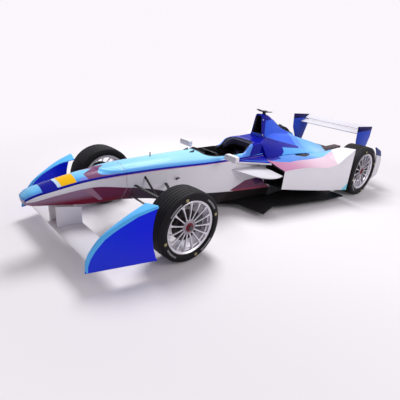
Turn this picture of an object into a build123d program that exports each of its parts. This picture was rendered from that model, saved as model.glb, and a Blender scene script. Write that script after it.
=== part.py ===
"""Open wheel electric racing car, built as separate named pieces.

Millimetres. The nose points to -Y, the car's left side is +X, Z is up and the ground is Z = 0.
Stations are lengths behind the front axle line, so a station is turned into Y by y_at().
The origin is on the ground, half way along the car.
"""

from build123d import *
import os
from math import cos, radians, sin

os.makedirs("parts", exist_ok=True)

# ---- driving dimensions ----
FRONT_AXLE_Y = -1430
WHEELBASE = 3100
RIM_R = 229.5
RIM_WALL = 9
FLANGE_R = 247
FLANGE_T = 8
SPOKES = 15
SPOKE_W = 11
SPOKE_T = 20
HUB_R = 46
NUT_R = 28
AXLE_R = 20
RUNNING_GAP = 0.05
KINGPIN_R = 10
KINGPIN_INSET = 157      # wheel's outer face to kingpin
DISC_R = 139
DISC_T = 28
KNUCKLE_HALF_H = 110
UPRIGHT_OUTLINE = [(-34, -110), (34, -110), (52, 0), (34, 110), (-34, 110), (-52, 0)]
SOCKET_DEPTH = 30
STEER_ARM = 110          # kingpin to rod end, ahead of the axle
ROD_RISE = 45            # rod end above the wheel's centre
ROD_R = 9
EYE_R = 18
SHAFT_R = 15
BOOT_R = 38
SHAFT_IN = 168           # drive shaft's inner end
FLOOR_Z = 52
FLOOR_T = 14

# axle: station, tyre radius, tyre width, outer face X
AXLES = {
    "front": (0, 325, 245, 857),
    "rear": (WHEELBASE, 340, 305, 873),
}
SIDES = {"left": 1, "right": -1}


def y_at(station):
    """Y of a station."""
    return FRONT_AXLE_Y + station


def cross(station):
    """Plane across the car at a station: local x is X, local y is Z."""
    return Plane.XZ.offset(-y_at(station))


def outline(plane, points):
    """Flat face with straight edges."""
    with BuildSketch(plane) as sketch:
        with BuildLine():
            Polyline(*points, close=True)
        make_face()
    return sketch.sketch.face()


def side_outline(x, points):
    """Straight-edged face on a plane of constant X, from (station, z) pairs."""
    return outline(Plane.YZ.offset(x), [(y_at(s), z) for s, z in points])


def plan_outline(z, points):
    """Straight-edged face on a level plane, from (x, station) pairs."""
    return outline(Plane.XY.offset(z), [(x, y_at(s)) for x, s in points])


def hull_section(station, crown_z, chine, chine_z, low, low_z, keel, keel_z):
    """Section across nose or tub: a crowned top, flat flanks and a keel."""
    with BuildSketch(cross(station)) as sketch:
        with BuildLine():
            ThreePointArc((chine, chine_z), (0, crown_z), (-chine, chine_z))
            Polyline(
                (-chine, chine_z), (-low, low_z), (-keel, keel_z),
                (keel, keel_z), (low, low_z), (chine, chine_z),
            )
        make_face()
    return sketch.sketch.face()


def bar_section(start, end, chord, depth):
    """Oval section of a suspension link, square to its run; the chord lies fore and aft."""
    with BuildSketch(Plane(origin=start, x_dir=(0, 1, 0), z_dir=Vector(*end) - Vector(*start))) as sketch:
        Ellipse(chord / 2, depth / 2)
    return sketch.sketch.face()


def run_length(start, end):
    return (Vector(*end) - Vector(*start)).length


def save(builder, label):
    builder.part.label = label
    export_step(builder.part, f"parts/{label}.step")


def save_pair(left_piece, label):
    """A left-hand piece and its mirror image, as solids of one node."""
    with BuildPart() as pair:
        add(left_piece.part)
        mirror(left_piece.part, about=Plane.YZ)
    save(pair, label)


# ---- nose cone and tub ----
# station, crown_z, chine, chine_z, low, low_z, keel, keel_z
NOSE_SECTIONS = [
    (-1070, 536, 72, 520, 72, 503, 45, 480),
    (-1000, 582, 100, 557, 112, 513, 55, 456),
    (-800, 632, 103, 586, 128, 540, 55, 420),
    (-550, 668, 121, 619, 143, 557, 55, 372),
    (-210, 696, 162, 637, 170, 503, 55, 342),
]
TUB_SECTIONS = [
    (-208, 696, 162, 637, 170, 503, 55, 342),
    (100, 703, 177, 634, 182, 430, 90, 300),
    (400, 706, 197, 626, 200, 330, 110, 190),
    (800, 706, 230, 617, 228, 268, 130, 68),
    (1250, 700, 246, 613, 268, 222, 190, 68),
    (1750, 700, 262, 613, 318, 190, 260, 68),
]
COCKPIT_FRONT = 728
COCKPIT_BACK = 1600
COCKPIT_HALF_FRONT = 175
COCKPIT_HALF_BACK = 205
COCKPIT_FLOOR_Z = 150

with BuildPart() as nose_cone:
    loft([hull_section(*row) for row in NOSE_SECTIONS], ruled=True)
save(nose_cone, "nose_cone")

with BuildPart() as monocoque:
    loft([hull_section(*row) for row in TUB_SECTIONS], ruled=True)
    # cockpit well, wider at the driver's shoulders
    extrude(
        plan_outline(300, [
            (-COCKPIT_HALF_FRONT + 60, COCKPIT_FRONT), (COCKPIT_HALF_FRONT - 60, COCKPIT_FRONT),
            (COCKPIT_HALF_FRONT, COCKPIT_FRONT + 90), (COCKPIT_HALF_BACK, COCKPIT_BACK - 250),
            (COCKPIT_HALF_BACK, COCKPIT_BACK), (-COCKPIT_HALF_BACK, COCKPIT_BACK),
            (-COCKPIT_HALF_BACK, COCKPIT_BACK - 250), (-COCKPIT_HALF_FRONT, COCKPIT_FRONT + 90),
        ]),
        amount=500, mode=Mode.SUBTRACT,
    )
    # the lower well, where the driver lies
    extrude(
        plan_outline(COCKPIT_FLOOR_Z, [
            (-130, COCKPIT_FRONT + 60), (130, COCKPIT_FRONT + 60), (190, COCKPIT_BACK - 300),
            (190, COCKPIT_BACK), (-190, COCKPIT_BACK), (-190, COCKPIT_BACK - 300),
        ]),
        amount=200, mode=Mode.SUBTRACT,
    )
    # the leg tunnel ahead of it
    extrude(
        outline(cross(COCKPIT_FRONT + 120), [(-120, 270), (120, 270), (120, 560), (-120, 560)]),
        amount=520, mode=Mode.SUBTRACT,
    )
    # cross bore for the steering rack
    with BuildSketch(Plane.YZ.offset(-250)):
        with Locations((y_at(-STEER_ARM), AXLES["front"][1] + ROD_RISE)):
            Circle(ROD_R + RUNNING_GAP)
    extrude(amount=500, mode=Mode.SUBTRACT)
save(monocoque, "monocoque")

# ---- front wing: one plane between two endplates that toe out and lean in ----
PLATE_FRONT = Vector(705, y_at(-888), 135)   # lower front corner of the left plate's outer face
PLATE_REAR = Vector(855, y_at(-338), 135)
PLATE_TOP = Vector(806, y_at(-311), 596)     # its upper rear corner
PLATE_T = 10
PLATE_ALONG = (PLATE_REAR - PLATE_FRONT).normalized()
PLATE_OUT = PLATE_ALONG.cross(PLATE_TOP - PLATE_FRONT).normalized()
PLATE_PLANE = Plane(origin=PLATE_FRONT, x_dir=PLATE_ALONG, z_dir=PLATE_OUT)
PLATE_LENGTH = (PLATE_REAR - PLATE_FRONT).length
LIP_IN = Vector(-0.98, -0.15, -0.14)         # the way the lip on the plate's top edge curls
LIP_T = 10
# along the plate, up the plate, width of the lip there
LIP_ROWS = [
    (8, 80, 5), (70, 195, 14), (142, 270, 23), (268, 344, 46),
    (403, 408, 75), (500, 438, 112), (580, 458, 148),
]
PYLON_X = 82
PYLON_T = 14

with BuildPart() as front_wing:
    # thin cambered plane, stretched past both tips and cut off at the plates
    extrude(
        side_outline(-800, [
            (-857, 218), (-840, 228), (-780, 234), (-690, 226), (-603, 213),
            (-603, 208), (-690, 214), (-780, 212), (-840, 209),
        ]),
        amount=1600,
    )
    with BuildPart(mode=Mode.PRIVATE) as beyond_tip:
        with BuildSketch(PLATE_PLANE.offset(-PLATE_T)):
            Rectangle(3000, 2000)
        extrude(amount=400)
    add(beyond_tip.part, mode=Mode.SUBTRACT)
    add(mirror(beyond_tip.part, about=Plane.YZ, mode=Mode.PRIVATE), mode=Mode.SUBTRACT)
save(front_wing, "front_wing")

with BuildPart() as nose_pylons:
    for x in (-PYLON_X, PYLON_X):
        extrude(
            side_outline(x - PYLON_T / 2, [
                (-833, 229), (-780, 235), (-690, 227), (-610, 215), (-612, 376), (-838, 425),
            ]),
            amount=PYLON_T,
        )
save(nose_pylons, "nose_pylons")

with BuildPart() as endplate_left:
    with BuildSketch(PLATE_PLANE):
        with BuildLine():
            Polyline((PLATE_LENGTH - 8, 0), (0, 0), *[(along, up) for along, up, width in LIP_ROWS])
            ThreePointArc((580, 458), (527, 225), (PLATE_LENGTH - 8, 0))
        make_face()
    extrude(amount=-PLATE_T)
    # the lip, a thin shelf that widens to the rear
    shelf = []
    for along, up, width in LIP_ROWS:
        edge = PLATE_PLANE.from_local_coords((along, up, -1))
        tip = edge + LIP_IN * width
        shelf.append(Face(Wire.make_polygon([
            edge, tip, tip - Vector(0, 0, LIP_T), edge - Vector(0, 0, LIP_T),
        ])))
    loft(shelf, ruled=True)
save_pair(endplate_left, "front_wing_endplates")

# ---- cockpit fittings ----
# station, base half width, base z, top half width, top z
SURROUND_SECTIONS = [
    (1235, 244, 618, 238, 624),
    (1330, 246, 616, 222, 664),
    (1425, 247, 614, 212, 735),
    (1610, 248, 612, 206, 742),
]
with BuildPart() as cockpit_surround:
    # raised collar behind the driver's shoulders, open to the front
    loft([
        outline(cross(station), [(-base, z), (base, z), (top, top_z), (-top, top_z)])
        for station, base, z, top, top_z in SURROUND_SECTIONS
    ], ruled=True)
    extrude(
        plan_outline(600, [(-165, 1150), (165, 1150), (172, 1430), (110, 1530), (-110, 1530), (-172, 1430)]),
        amount=200, mode=Mode.SUBTRACT,
    )
    add(monocoque.part, mode=Mode.SUBTRACT)
save(cockpit_surround, "cockpit_surround")

SEAT_HALF = 145
with BuildPart() as seat:
    extrude(
        side_outline(-SEAT_HALF, [
            (1000, 154), (1250, 154), (1560, 420), (1560, 600),
            (1520, 600), (1500, 440), (1220, 205), (1000, 230),
        ]),
        amount=2 * SEAT_HALF,
    )
save(seat, "seat")

WHEEL_RAKE = 20          # steering wheel leans forward at its top
COLUMN_AXIS = (0, cos(radians(WHEEL_RAKE)), sin(radians(WHEEL_RAKE)))
WHEEL_CENTRE = (0, y_at(960), 598)
with BuildPart() as steering_wheel:
    with BuildSketch(Plane(origin=WHEEL_CENTRE, x_dir=(1, 0, 0), z_dir=COLUMN_AXIS)):
        RectangleRounded(270, 170, 50)
        with Locations((-82, 0), (82, 0)):
            SlotOverall(90, 36, rotation=90, mode=Mode.SUBTRACT)
    extrude(amount=30)
    with BuildSketch(Plane(origin=WHEEL_CENTRE, x_dir=(1, 0, 0), z_dir=COLUMN_AXIS)):
        Circle(25)
    extrude(amount=-30)
save(steering_wheel, "steering_wheel")
with BuildPart() as steering_column:
    with BuildSketch(Plane(origin=WHEEL_CENTRE, x_dir=(1, 0, 0), z_dir=COLUMN_AXIS).offset(-32)):
        Circle(20)
    extrude(amount=-260)
save(steering_column, "steering_column")

# ---- battery, motor and gearbox: plain heavy blocks behind the tub ----
BATTERY_FRONT = 1754
BATTERY_BACK = 2380
GEARBOX_FRONT = BATTERY_BACK + 4
GEARBOX_BACK = 3330
with BuildPart() as battery:
    extrude(
        outline(cross(BATTERY_FRONT), [(-290, 70), (290, 70), (290, 500), (-290, 500)]),
        amount=BATTERY_FRONT - BATTERY_BACK,
    )
save(battery, "battery_block")
with BuildPart() as gearbox:
    extrude(
        outline(cross(GEARBOX_FRONT), [
            (-160, 100), (160, 100), (160, 330), (110, 420), (-110, 420), (-160, 330),
        ]),
        amount=GEARBOX_FRONT - GEARBOX_BACK,
    )
save(gearbox, "motor_and_gearbox")

CRASH_BACK = 3918
TOW_EYE_STATION = 3880
TOW_EYE_Z = 275.5
TOW_EYE_R = 15
TOW_EYE_T = 12
with BuildPart() as crash_structure:
    loft([
        outline(cross(GEARBOX_BACK + 1), [(-110, 190), (110, 190), (95, 400), (-95, 400)]),
        outline(cross(CRASH_BACK), [(-62, 300), (62, 300), (58, 425), (-58, 425)]),
    ], ruled=True)
    # tow eye under its tail
    with BuildSketch(Plane.YZ.offset(-TOW_EYE_T / 2)):
        with Locations((y_at(TOW_EYE_STATION), TOW_EYE_Z)):
            Rectangle(56, 52)
            Circle(TOW_EYE_R, mode=Mode.SUBTRACT)
    extrude(amount=TOW_EYE_T)
save(crash_structure, "rear_crash_structure")
with BuildPart() as rear_light:
    extrude(outline(cross(CRASH_BACK), [(-38, 320), (38, 320), (38, 405), (-38, 405)]), amount=-12)
save(rear_light, "rear_light")

# ---- engine cover with the airbox intake ----
# station, base half width, base z, shoulder half width, shoulder z, crown half width, crown z
COVER_SECTIONS = [
    (1615, 326, 574, 232, 700, 120, 770),
    (1900, 326, 582, 240, 670, 90, 790),
    (2380, 326, 554, 200, 612, 60, 740),
    (2715, 326, 512, 160, 556, 44, 656),
    (3330, 120, 424, 70, 450, 25, 486),
]
# station, base half width, base z, crown half width, crown z
AIRBOX_SECTIONS = [
    (1745, 100, 760, 46, 1046),
    (1850, 96, 760, 44, 1036),
    (2010, 82, 740, 30, 962),
    (2200, 60, 720, 20, 848),
    (2560, 30, 690, 10, 722),
]
with BuildPart() as engine_cover:
    loft([
        outline(cross(s), [(-b, bz), (b, bz), (h, hz), (c, cz), (-c, cz), (-h, hz)])
        for s, b, bz, h, hz, c, cz in COVER_SECTIONS
    ], ruled=True)
    loft([
        outline(cross(s), [(-b, bz), (b, bz), (c, cz), (-c, cz)])
        for s, b, bz, c, cz in AIRBOX_SECTIONS
    ], ruled=True)
    loft([
        outline(cross(1744), [(-78, 812), (78, 812), (36, 1026), (-36, 1026)]),
        outline(cross(1980), [(-46, 820), (46, 820), (22, 940), (-22, 940)]),
    ], ruled=True, mode=Mode.SUBTRACT)
    add(monocoque.part, mode=Mode.SUBTRACT)
save(engine_cover, "engine_cover")

# ---- sidepods ----
# station, inner x, bottom outer x, bottom z, shoulder x, shoulder z, crest x, crest z, top inner z
POD_SECTIONS = [
    (1600, 330, 598, 277, 604, 503, 470, 530, 572),
    (1900, 330, 672, 235, 668, 517, 520, 560, 582),
    (2300, 330, 775, 188, 765, 493, 560, 548, 558),
    (2440, 330, 800, 172, 792, 512, 580, 550, 545),
    (2715, 330, 856, 142, 856, 698, 660, 682, 515),
]
# station, outer x, bottom z, top outer z, top inner z: the tail beside the gearbox
TAIL_SECTIONS = [
    (2714, 500, 142, 540, 515),
    (3330, 190, 142, 420, 420),
]
TAIL_INNER_X = 164
# station, outer x, outer z, under x, under z: the shoulder that leads from the tub's flank to the pod's top
SHOULDER_SECTIONS = [
    (1080, 252, 590, 250, 580),
    (1320, 302, 567, 296, 546),
    (1600, 407, 543, 407, 521),
]
SHOULDER_INNER_X = 240
with BuildPart() as sidepod_left:
    loft([
        outline(cross(s), [(i, bz), (o, bz), (h, hz), (c, cz), (i, iz)])
        for s, i, o, bz, h, hz, c, cz, iz in POD_SECTIONS
    ], ruled=True)
    loft([
        outline(cross(1599), [(350, 300), (582, 300), (584, 478), (350, 528)]),
        outline(cross(2050), [(350, 330), (520, 330), (520, 440), (350, 480)]),
    ], ruled=True, mode=Mode.SUBTRACT)
    loft([
        outline(cross(s), [(SHOULDER_INNER_X, 606), (o, oz), (u, uz), (SHOULDER_INNER_X, uz - 8)])
        for s, o, oz, u, uz in SHOULDER_SECTIONS
    ], ruled=True)
    add(monocoque.part, mode=Mode.SUBTRACT)
    loft([
        outline(cross(s), [(TAIL_INNER_X, bz), (o, bz), (o, tz), (TAIL_INNER_X, min(iz, 418))])
        for s, o, bz, tz, iz in TAIL_SECTIONS
    ], ruled=True)
    # way out for the drive shaft
    with BuildSketch(Plane.YZ.offset(TAIL_INNER_X - 10)):
        with Locations((y_at(WHEELBASE), AXLES["rear"][1])):
            Circle(BOOT_R + 8)
    extrude(amount=300, mode=Mode.SUBTRACT)
save_pair(sidepod_left, "sidepods")

# winglet plane: it falls from WINGLET_ROOT_Z at the centre plane by WINGLET_FALL degrees
WINGLET_ROOT_Z = 538
WINGLET_FALL = 8.6
WINGLET_T = 12
with BuildPart() as winglet_left:
    with BuildSketch(Plane(
        origin=(0, 0, WINGLET_ROOT_Z),
        x_dir=(cos(radians(WINGLET_FALL)), 0, -sin(radians(WINGLET_FALL))),
        z_dir=(sin(radians(WINGLET_FALL)), 0, cos(radians(WINGLET_FALL))),
    )):
        with BuildLine():
            Polyline(
                (600, y_at(1590)), (425, y_at(1568)), (230, y_at(1540)),
                (230, y_at(1080)), (392, y_at(1188)),
            )
            ThreePointArc((392, y_at(1188)), (575, y_at(1345)), (600, y_at(1590)))
        make_face()
    extrude(amount=-WINGLET_T)
    add(monocoque.part, mode=Mode.SUBTRACT)
save_pair(winglet_left, "sidepod_winglets")

# ---- floor and diffuser ----
with BuildPart() as floor:
    for side in SIDES.values():
        extrude(
            plan_outline(FLOOR_Z, [
                (0, 760), (side * 90, 760), (side * 130, 1000), (side * 300, 1230), (side * 640, 1270),
                (side * 560, 1540), (side * 640, 1760), (side * 800, 2330), (side * 850, 2690),
                (side * 520, 2690), (side * 520, 3380), (0, 3380),
            ]),
            amount=FLOOR_T,
        )
    # diffuser ramp and its strakes
    extrude(side_outline(-500, [(3370, 52), (3640, 150), (3640, 160), (3370, 66)]), amount=1000)
    for x in (-500, -255, -4, 247, 492):
        extrude(side_outline(x, [(3370, 52), (3640, 60), (3640, 158), (3370, 64)]), amount=8)
save(floor, "floor")

# ---- rear wing: a main plane and a flap between two endplates, standing on the rear beam ----
REAR_PLATE_X = 545
BEAM_TOP_Z = 404
GUARD_X = 831            # inner face of the guards, where the beam ends
with BuildPart() as rear_planes:
    for section in (
        [(3532, 746), (3545, 736), (3600, 744), (3668, 776), (3662, 782), (3600, 762), (3550, 756)],
        [(3652, 800), (3664, 790), (3710, 806), (3768, 846), (3762, 851), (3706, 824)],
    ):
        extrude(side_outline(-REAR_PLATE_X + 5, section), amount=2 * REAR_PLATE_X - 10)
save(rear_planes, "rear_wing_planes")
with BuildPart() as rear_plate_left:
    extrude(
        side_outline(REAR_PLATE_X - 5, [
            (3325, 880), (3774, 852), (3770, 700), (3668, 451), (3650, BEAM_TOP_Z), (3590, BEAM_TOP_Z),
            (3480, 440), (3352, 660),
        ]),
        amount=10,
    )
save_pair(rear_plate_left, "rear_wing_endplates")

with BuildPart() as rear_beam:
    extrude(
        side_outline(-GUARD_X, [
            (3586, 384), (3600, 374), (3700, 400), (3700, 410), (3655, BEAM_TOP_Z), (3590, BEAM_TOP_Z),
        ]),
        amount=2 * GUARD_X,
    )
    add(crash_structure.part, mode=Mode.SUBTRACT)
save(rear_beam, "rear_beam")

# ---- guards behind the rear wheels ----
with BuildPart() as guard_left:
    with BuildSketch(Plane.YZ.offset(GUARD_X)):
        with BuildLine():
            Polyline((y_at(3495), 340), (y_at(3470), 170), (y_at(3660), 196), (y_at(3690), 229))
            ThreePointArc((y_at(3690), 229), (y_at(3655), 430), (y_at(3565), 575))
            Polyline((y_at(3565), 575), (y_at(3380), 650), (y_at(3362), 638))
            ThreePointArc((y_at(3362), 638), (y_at(3466), 500), (y_at(3495), 340))
        make_face()
    extrude(amount=14)
save_pair(guard_left, "rear_wheel_guards")

# ---- wheels, brakes and knuckles ----
def ring_profile(points):
    """Half section of a round piece about the axle: (x, radius) pairs."""
    return outline(Plane.XY, points)


for axle, (station, tyre_r, width, outer) in AXLES.items():
    centre_x = outer - width / 2
    half = width / 2
    bead = half - 22
    spin = Axis((0, 0, 0), (1, 0, 0))
    hub_in, hub_out = half - 57, half - 8

    with BuildPart() as tyre:
        with BuildSketch():
            with BuildLine():
                Line((-bead, RIM_R + 0.5), (-bead, FLANGE_R + 2))
                ThreePointArc((-bead, FLANGE_R + 2), (-half, tyre_r - 52), (-half + 14, tyre_r - 12))
                ThreePointArc((-half + 14, tyre_r - 12), (0, tyre_r), (half - 14, tyre_r - 12))
                ThreePointArc((half - 14, tyre_r - 12), (half, tyre_r - 52), (bead, FLANGE_R + 2))
                Line((bead, FLANGE_R + 2), (bead, RIM_R + 0.5))
                Polyline(
                    (bead, RIM_R + 0.5), (bead - 14, RIM_R + 0.5), (bead - 14, FLANGE_R + 6),
                    (half - 16, tyre_r - 52), (half - 34, tyre_r - 24), (-half + 34, tyre_r - 24),
                    (-half + 16, tyre_r - 52), (-bead + 14, FLANGE_R + 6), (-bead + 14, RIM_R + 0.5),
                    (-bead, RIM_R + 0.5),
                )
            make_face()
        revolve(axis=spin)

    with BuildPart() as rim:
        revolve(ring_profile([
            (-bead, RIM_R - RIM_WALL), (-bead, RIM_R), (bead, RIM_R), (bead, RIM_R - RIM_WALL),
        ]), axis=spin)
        for edge in (-bead - FLANGE_T, bead):
            revolve(ring_profile([
                (edge, RIM_R - RIM_WALL), (edge, FLANGE_R),
                (edge + FLANGE_T, FLANGE_R), (edge + FLANGE_T, RIM_R - RIM_WALL),
            ]), axis=spin)
        with BuildSketch(Plane.YZ.offset(half - 40)):
            with PolarLocations(0, SPOKES):
                with Locations((HUB_R / 2 + RIM_R / 2 - 4, 0)):
                    Rectangle(RIM_R - HUB_R, SPOKE_W)
        extrude(amount=SPOKE_T)
        revolve(ring_profile([
            (hub_in, AXLE_R + RUNNING_GAP), (hub_in, HUB_R),
            (hub_out, HUB_R), (hub_out, AXLE_R + RUNNING_GAP),
        ]), axis=spin)
        revolve(ring_profile([
            (hub_out, 0), (hub_out, NUT_R), (hub_out + 14, NUT_R), (hub_out + 14, 0),
        ]), axis=spin)

    disc_x = half - 90
    with BuildPart() as disc:
        revolve(ring_profile([
            (disc_x - DISC_T / 2, 70), (disc_x - DISC_T / 2, DISC_R),
            (disc_x + DISC_T / 2, DISC_R), (disc_x + DISC_T / 2, 70),
        ]), axis=spin)
        revolve(ring_profile([
            (disc_x - 8, AXLE_R + 3), (disc_x - 8, 72), (hub_in, 60), (hub_in, AXLE_R + 3),
        ]), axis=spin)

    pin_x = half - KINGPIN_INSET
    with BuildPart() as knuckle:
        with BuildSketch(Plane.YZ.offset(pin_x - 25)):
            with BuildLine():
                Polyline(*UPRIGHT_OUTLINE, close=True)
            make_face()
        extrude(amount=50)
        # bracket and caliper over the disc's rear edge
        with BuildSketch(Plane.YZ.offset(pin_x - 5)):
            with Locations((66, 0)):
                Rectangle(60, 90)
        extrude(amount=30)
        with BuildSketch(Plane.YZ.offset(pin_x + 20)):
            with Locations((118, 0)):
                RectangleRounded(92, 150, 12)
        extrude(amount=disc_x + DISC_T / 2 + 20 - pin_x - 20)
        revolve(ring_profile([
            (disc_x - DISC_T / 2 - 6, 0), (disc_x - DISC_T / 2 - 6, DISC_R + 6),
            (disc_x + DISC_T / 2 + 6, DISC_R + 6), (disc_x + DISC_T / 2 + 6, 0),
        ]), axis=spin, mode=Mode.SUBTRACT)
        with BuildSketch(Plane.YZ.offset(pin_x - 25)):
            Circle(AXLE_R + (0 if axle == "front" else RUNNING_GAP))
        if axle == "front":
            extrude(amount=hub_out - 4 - pin_x + 25)
            # steering arm with its ball pin
            with BuildSketch(Plane.XY.offset(ROD_RISE + 12)):
                with Locations((pin_x, -STEER_ARM / 2 - 12)):
                    RectangleRounded(26, STEER_ARM + 4, 12)
            extrude(amount=12)
            with BuildSketch(Plane.XY.offset(ROD_RISE - 8)):
                with Locations((pin_x, -STEER_ARM)):
                    Circle(5)
            extrude(amount=22)
        else:
            extrude(amount=60, mode=Mode.SUBTRACT)
        # kingpin sockets, top and bottom
        for z in (-KNUCKLE_HALF_H, KNUCKLE_HALF_H - SOCKET_DEPTH):
            with BuildSketch(Plane.XY.offset(z)):
                with Locations((pin_x, 0)):
                    Circle(KINGPIN_R + RUNNING_GAP)
            extrude(amount=SOCKET_DEPTH, mode=Mode.SUBTRACT)

    pieces = {"tyre": tyre, "rim": rim, "brake_disc": disc, "knuckle": knuckle}
    if axle == "rear":
        with BuildPart() as shaft:
            revolve(ring_profile([
                (hub_out - 4, 0), (hub_out - 4, AXLE_R), (pin_x - 34, AXLE_R), (pin_x - 34, BOOT_R),
                (pin_x - 90, BOOT_R - 8), (pin_x - 96, SHAFT_R), (SHAFT_IN - centre_x + 60, SHAFT_R),
                (SHAFT_IN - centre_x + 54, BOOT_R - 8),
                (SHAFT_IN - centre_x, BOOT_R), (SHAFT_IN - centre_x, 0),
            ]), axis=spin)
        pieces["drive_shaft"] = shaft
    for name, piece in pieces.items():
        with BuildPart() as left_piece:
            add(piece.part.moved(Location((centre_x, y_at(station), tyre_r))))
        save(left_piece, f"{name}_{axle}_left")
        with BuildPart() as right_piece:
            mirror(left_piece.part, about=Plane.YZ)
        save(right_piece, f"{name}_{axle}_right")

# ---- steering rack: one bar through the tub, an eye at each end ----
ROD_Z = AXLES["front"][1] + ROD_RISE
ROD_END_X = AXLES["front"][3] - KINGPIN_INSET
with BuildPart() as rack:
    with BuildSketch(Plane.YZ.offset(-ROD_END_X + EYE_R - 2)):
        with Locations((y_at(-STEER_ARM), ROD_Z)):
            Circle(ROD_R)
    extrude(amount=2 * (ROD_END_X - EYE_R + 2))
    with BuildSketch(Plane.XY.offset(ROD_Z - 8)):
        with Locations((-ROD_END_X, y_at(-STEER_ARM)), (ROD_END_X, y_at(-STEER_ARM))):
            Circle(EYE_R)
            Circle(EYE_R - 7, mode=Mode.SUBTRACT)
    extrude(amount=16)
save(rack, "steering_rack")

# ---- suspension links, cut where they enter the body ----
# start and end of each left-hand link: (x, station, z), chord, depth
FRONT_WISHBONES = [
    ((150, -130, 514), (690, 0, 447), 34, 13),
    ((150, 230, 478), (690, 0, 447), 34, 13),
    ((40, -145, 352), (690, 0, 203), 34, 13),
    ((70, 240, 285), (690, 0, 203), 34, 13),
]
FRONT_PUSHRODS = [((140, -20, 600), (640, 4, 226), 22, 18)]
REAR_WISHBONES = [
    ((240, 2930, 430), (706, 3100, 462), 38, 14),
    ((184, 3300, 398), (706, 3100, 462), 38, 14),
    ((260, 2880, 215), (706, 3100, 218), 38, 14),
    ((184, 3300, 205), (706, 3100, 218), 38, 14),
]
REAR_PUSHRODS = [((190, 3205, 400), (640, 3158, 236), 24, 20)]


def links(table):
    """Solids of a table's left-hand links."""
    return [
        extrude(bar_section((x0, y_at(s0), z0), (x1, y_at(s1), z1), chord, depth),
                amount=run_length((x0, s0, z0), (x1, s1, z1)))
        for (x0, s0, z0), (x1, s1, z1), chord, depth in table
    ]


for axle, wishbones, pushrods, carriers in (
    ("front", FRONT_WISHBONES, FRONT_PUSHRODS, [monocoque]),
    ("rear", REAR_WISHBONES, REAR_PUSHRODS, [sidepod_left, gearbox, engine_cover]),
):
    station, tyre_r, width, outer = AXLES[axle]
    pin_x = outer - KINGPIN_INSET
    with BuildPart() as left_links:
        add(links(wishbones))
        # ball joint cups with their pins
        for base, pin_base in (
            (KNUCKLE_HALF_H + 3, KNUCKLE_HALF_H - 24),
            (-KNUCKLE_HALF_H - 23, -KNUCKLE_HALF_H - 3),
        ):
            with BuildSketch(Plane.XY.offset(tyre_r + base)):
                with Locations((pin_x, y_at(station))):
                    Circle(20)
            extrude(amount=20)
            with BuildSketch(Plane.XY.offset(tyre_r + pin_base)):
                with Locations((pin_x, y_at(station))):
                    Circle(KINGPIN_R)
            extrude(amount=27)
        add(links(pushrods))
        for carrier in carriers:
            add(carrier.part, mode=Mode.SUBTRACT)
    save_pair(left_links, f"{axle}_suspension_links")

# ---- small pieces on the body ----
with BuildPart() as mirrors:
    for side in SIDES.values():
        with BuildSketch(Plane.XZ.offset(-y_at(895))):
            with Locations((side * 378, 688)):
                RectangleRounded(165, 62, 20)
        extrude(amount=-52)
        extrude(bar_section((side * 228, y_at(930), 628), (side * 330, y_at(925), 664), 40, 8), amount=108)
    add(monocoque.part, mode=Mode.SUBTRACT)
save(mirrors, "mirrors")
CAMERA_STATION = 1838
CAMERA_Z = 1064
with BuildPart() as camera:
    extrude(
        outline(cross(1796), [(-14, 1038), (14, 1038), (12, CAMERA_Z + 2), (-12, CAMERA_Z + 2)]),
        amount=-70,
    )
    with BuildSketch(Plane.XY.offset(CAMERA_Z)):
        with Locations((0, y_at(CAMERA_STATION))):
            RectangleRounded(214, 70, 25)
    extrude(amount=22)
    add(engine_cover.part, mode=Mode.SUBTRACT)
save(camera, "roll_hoop_camera")
with BuildPart() as pitot:
    with BuildSketch(Plane.XY.offset(700)):
        with Locations((0, y_at(147))):
            Circle(5)
    extrude(amount=52)
    add(monocoque.part, mode=Mode.SUBTRACT)
save(pitot, "pitot_tube")
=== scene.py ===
# %% [markdown]
# # An open wheel racing car
# The solids already say where every piece sits. This lesson dresses them: smooth painted skins over
# the body, cast and turned wheels, rubber, carbon and a padded seat. Every length is in millimetres in
# the tables and in metres in the meshes. Stations are lengths behind the front axle.

# %% load the solids
from math import cos, exp, pi, radians, sin, sqrt, tau
import bmesh
import bpy
from mathutils import Matrix, Vector


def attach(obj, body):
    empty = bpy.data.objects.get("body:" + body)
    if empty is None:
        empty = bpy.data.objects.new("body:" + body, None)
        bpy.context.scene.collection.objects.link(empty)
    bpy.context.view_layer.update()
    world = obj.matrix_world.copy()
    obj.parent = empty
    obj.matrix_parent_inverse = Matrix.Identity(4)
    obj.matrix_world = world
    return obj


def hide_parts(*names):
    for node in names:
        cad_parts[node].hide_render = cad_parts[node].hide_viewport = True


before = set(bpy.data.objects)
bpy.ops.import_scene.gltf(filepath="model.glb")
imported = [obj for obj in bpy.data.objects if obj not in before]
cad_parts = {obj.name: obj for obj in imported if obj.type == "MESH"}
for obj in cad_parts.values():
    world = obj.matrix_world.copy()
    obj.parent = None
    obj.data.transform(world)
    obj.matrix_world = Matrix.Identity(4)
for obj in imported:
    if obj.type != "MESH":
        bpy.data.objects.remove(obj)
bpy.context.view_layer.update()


def placed(name, data):
    """An object that holds some data, linked to the scene."""
    thing = bpy.data.objects.new(name, data)
    bpy.context.collection.objects.link(thing)
    return thing

# %% [markdown]
# ## Camera
# The car is seen from ahead, from its left and from above, with a long lens, and the horizon is turned
# by a few degrees. Yaw, pitch and roll are easier to read than a matrix, so the matrix is built from
# them. Depth of field stays off.

# %% camera
CAMERA_AT = Vector((2.852, -3.252, 1.717))
YAW, PITCH, ROLL = radians(46.63), radians(22.6), radians(4.94)
SENSOR_WIDTH = 36
FOCAL_SHARE = 361.09 / 400  # focal length as a share of the sensor's width


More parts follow.
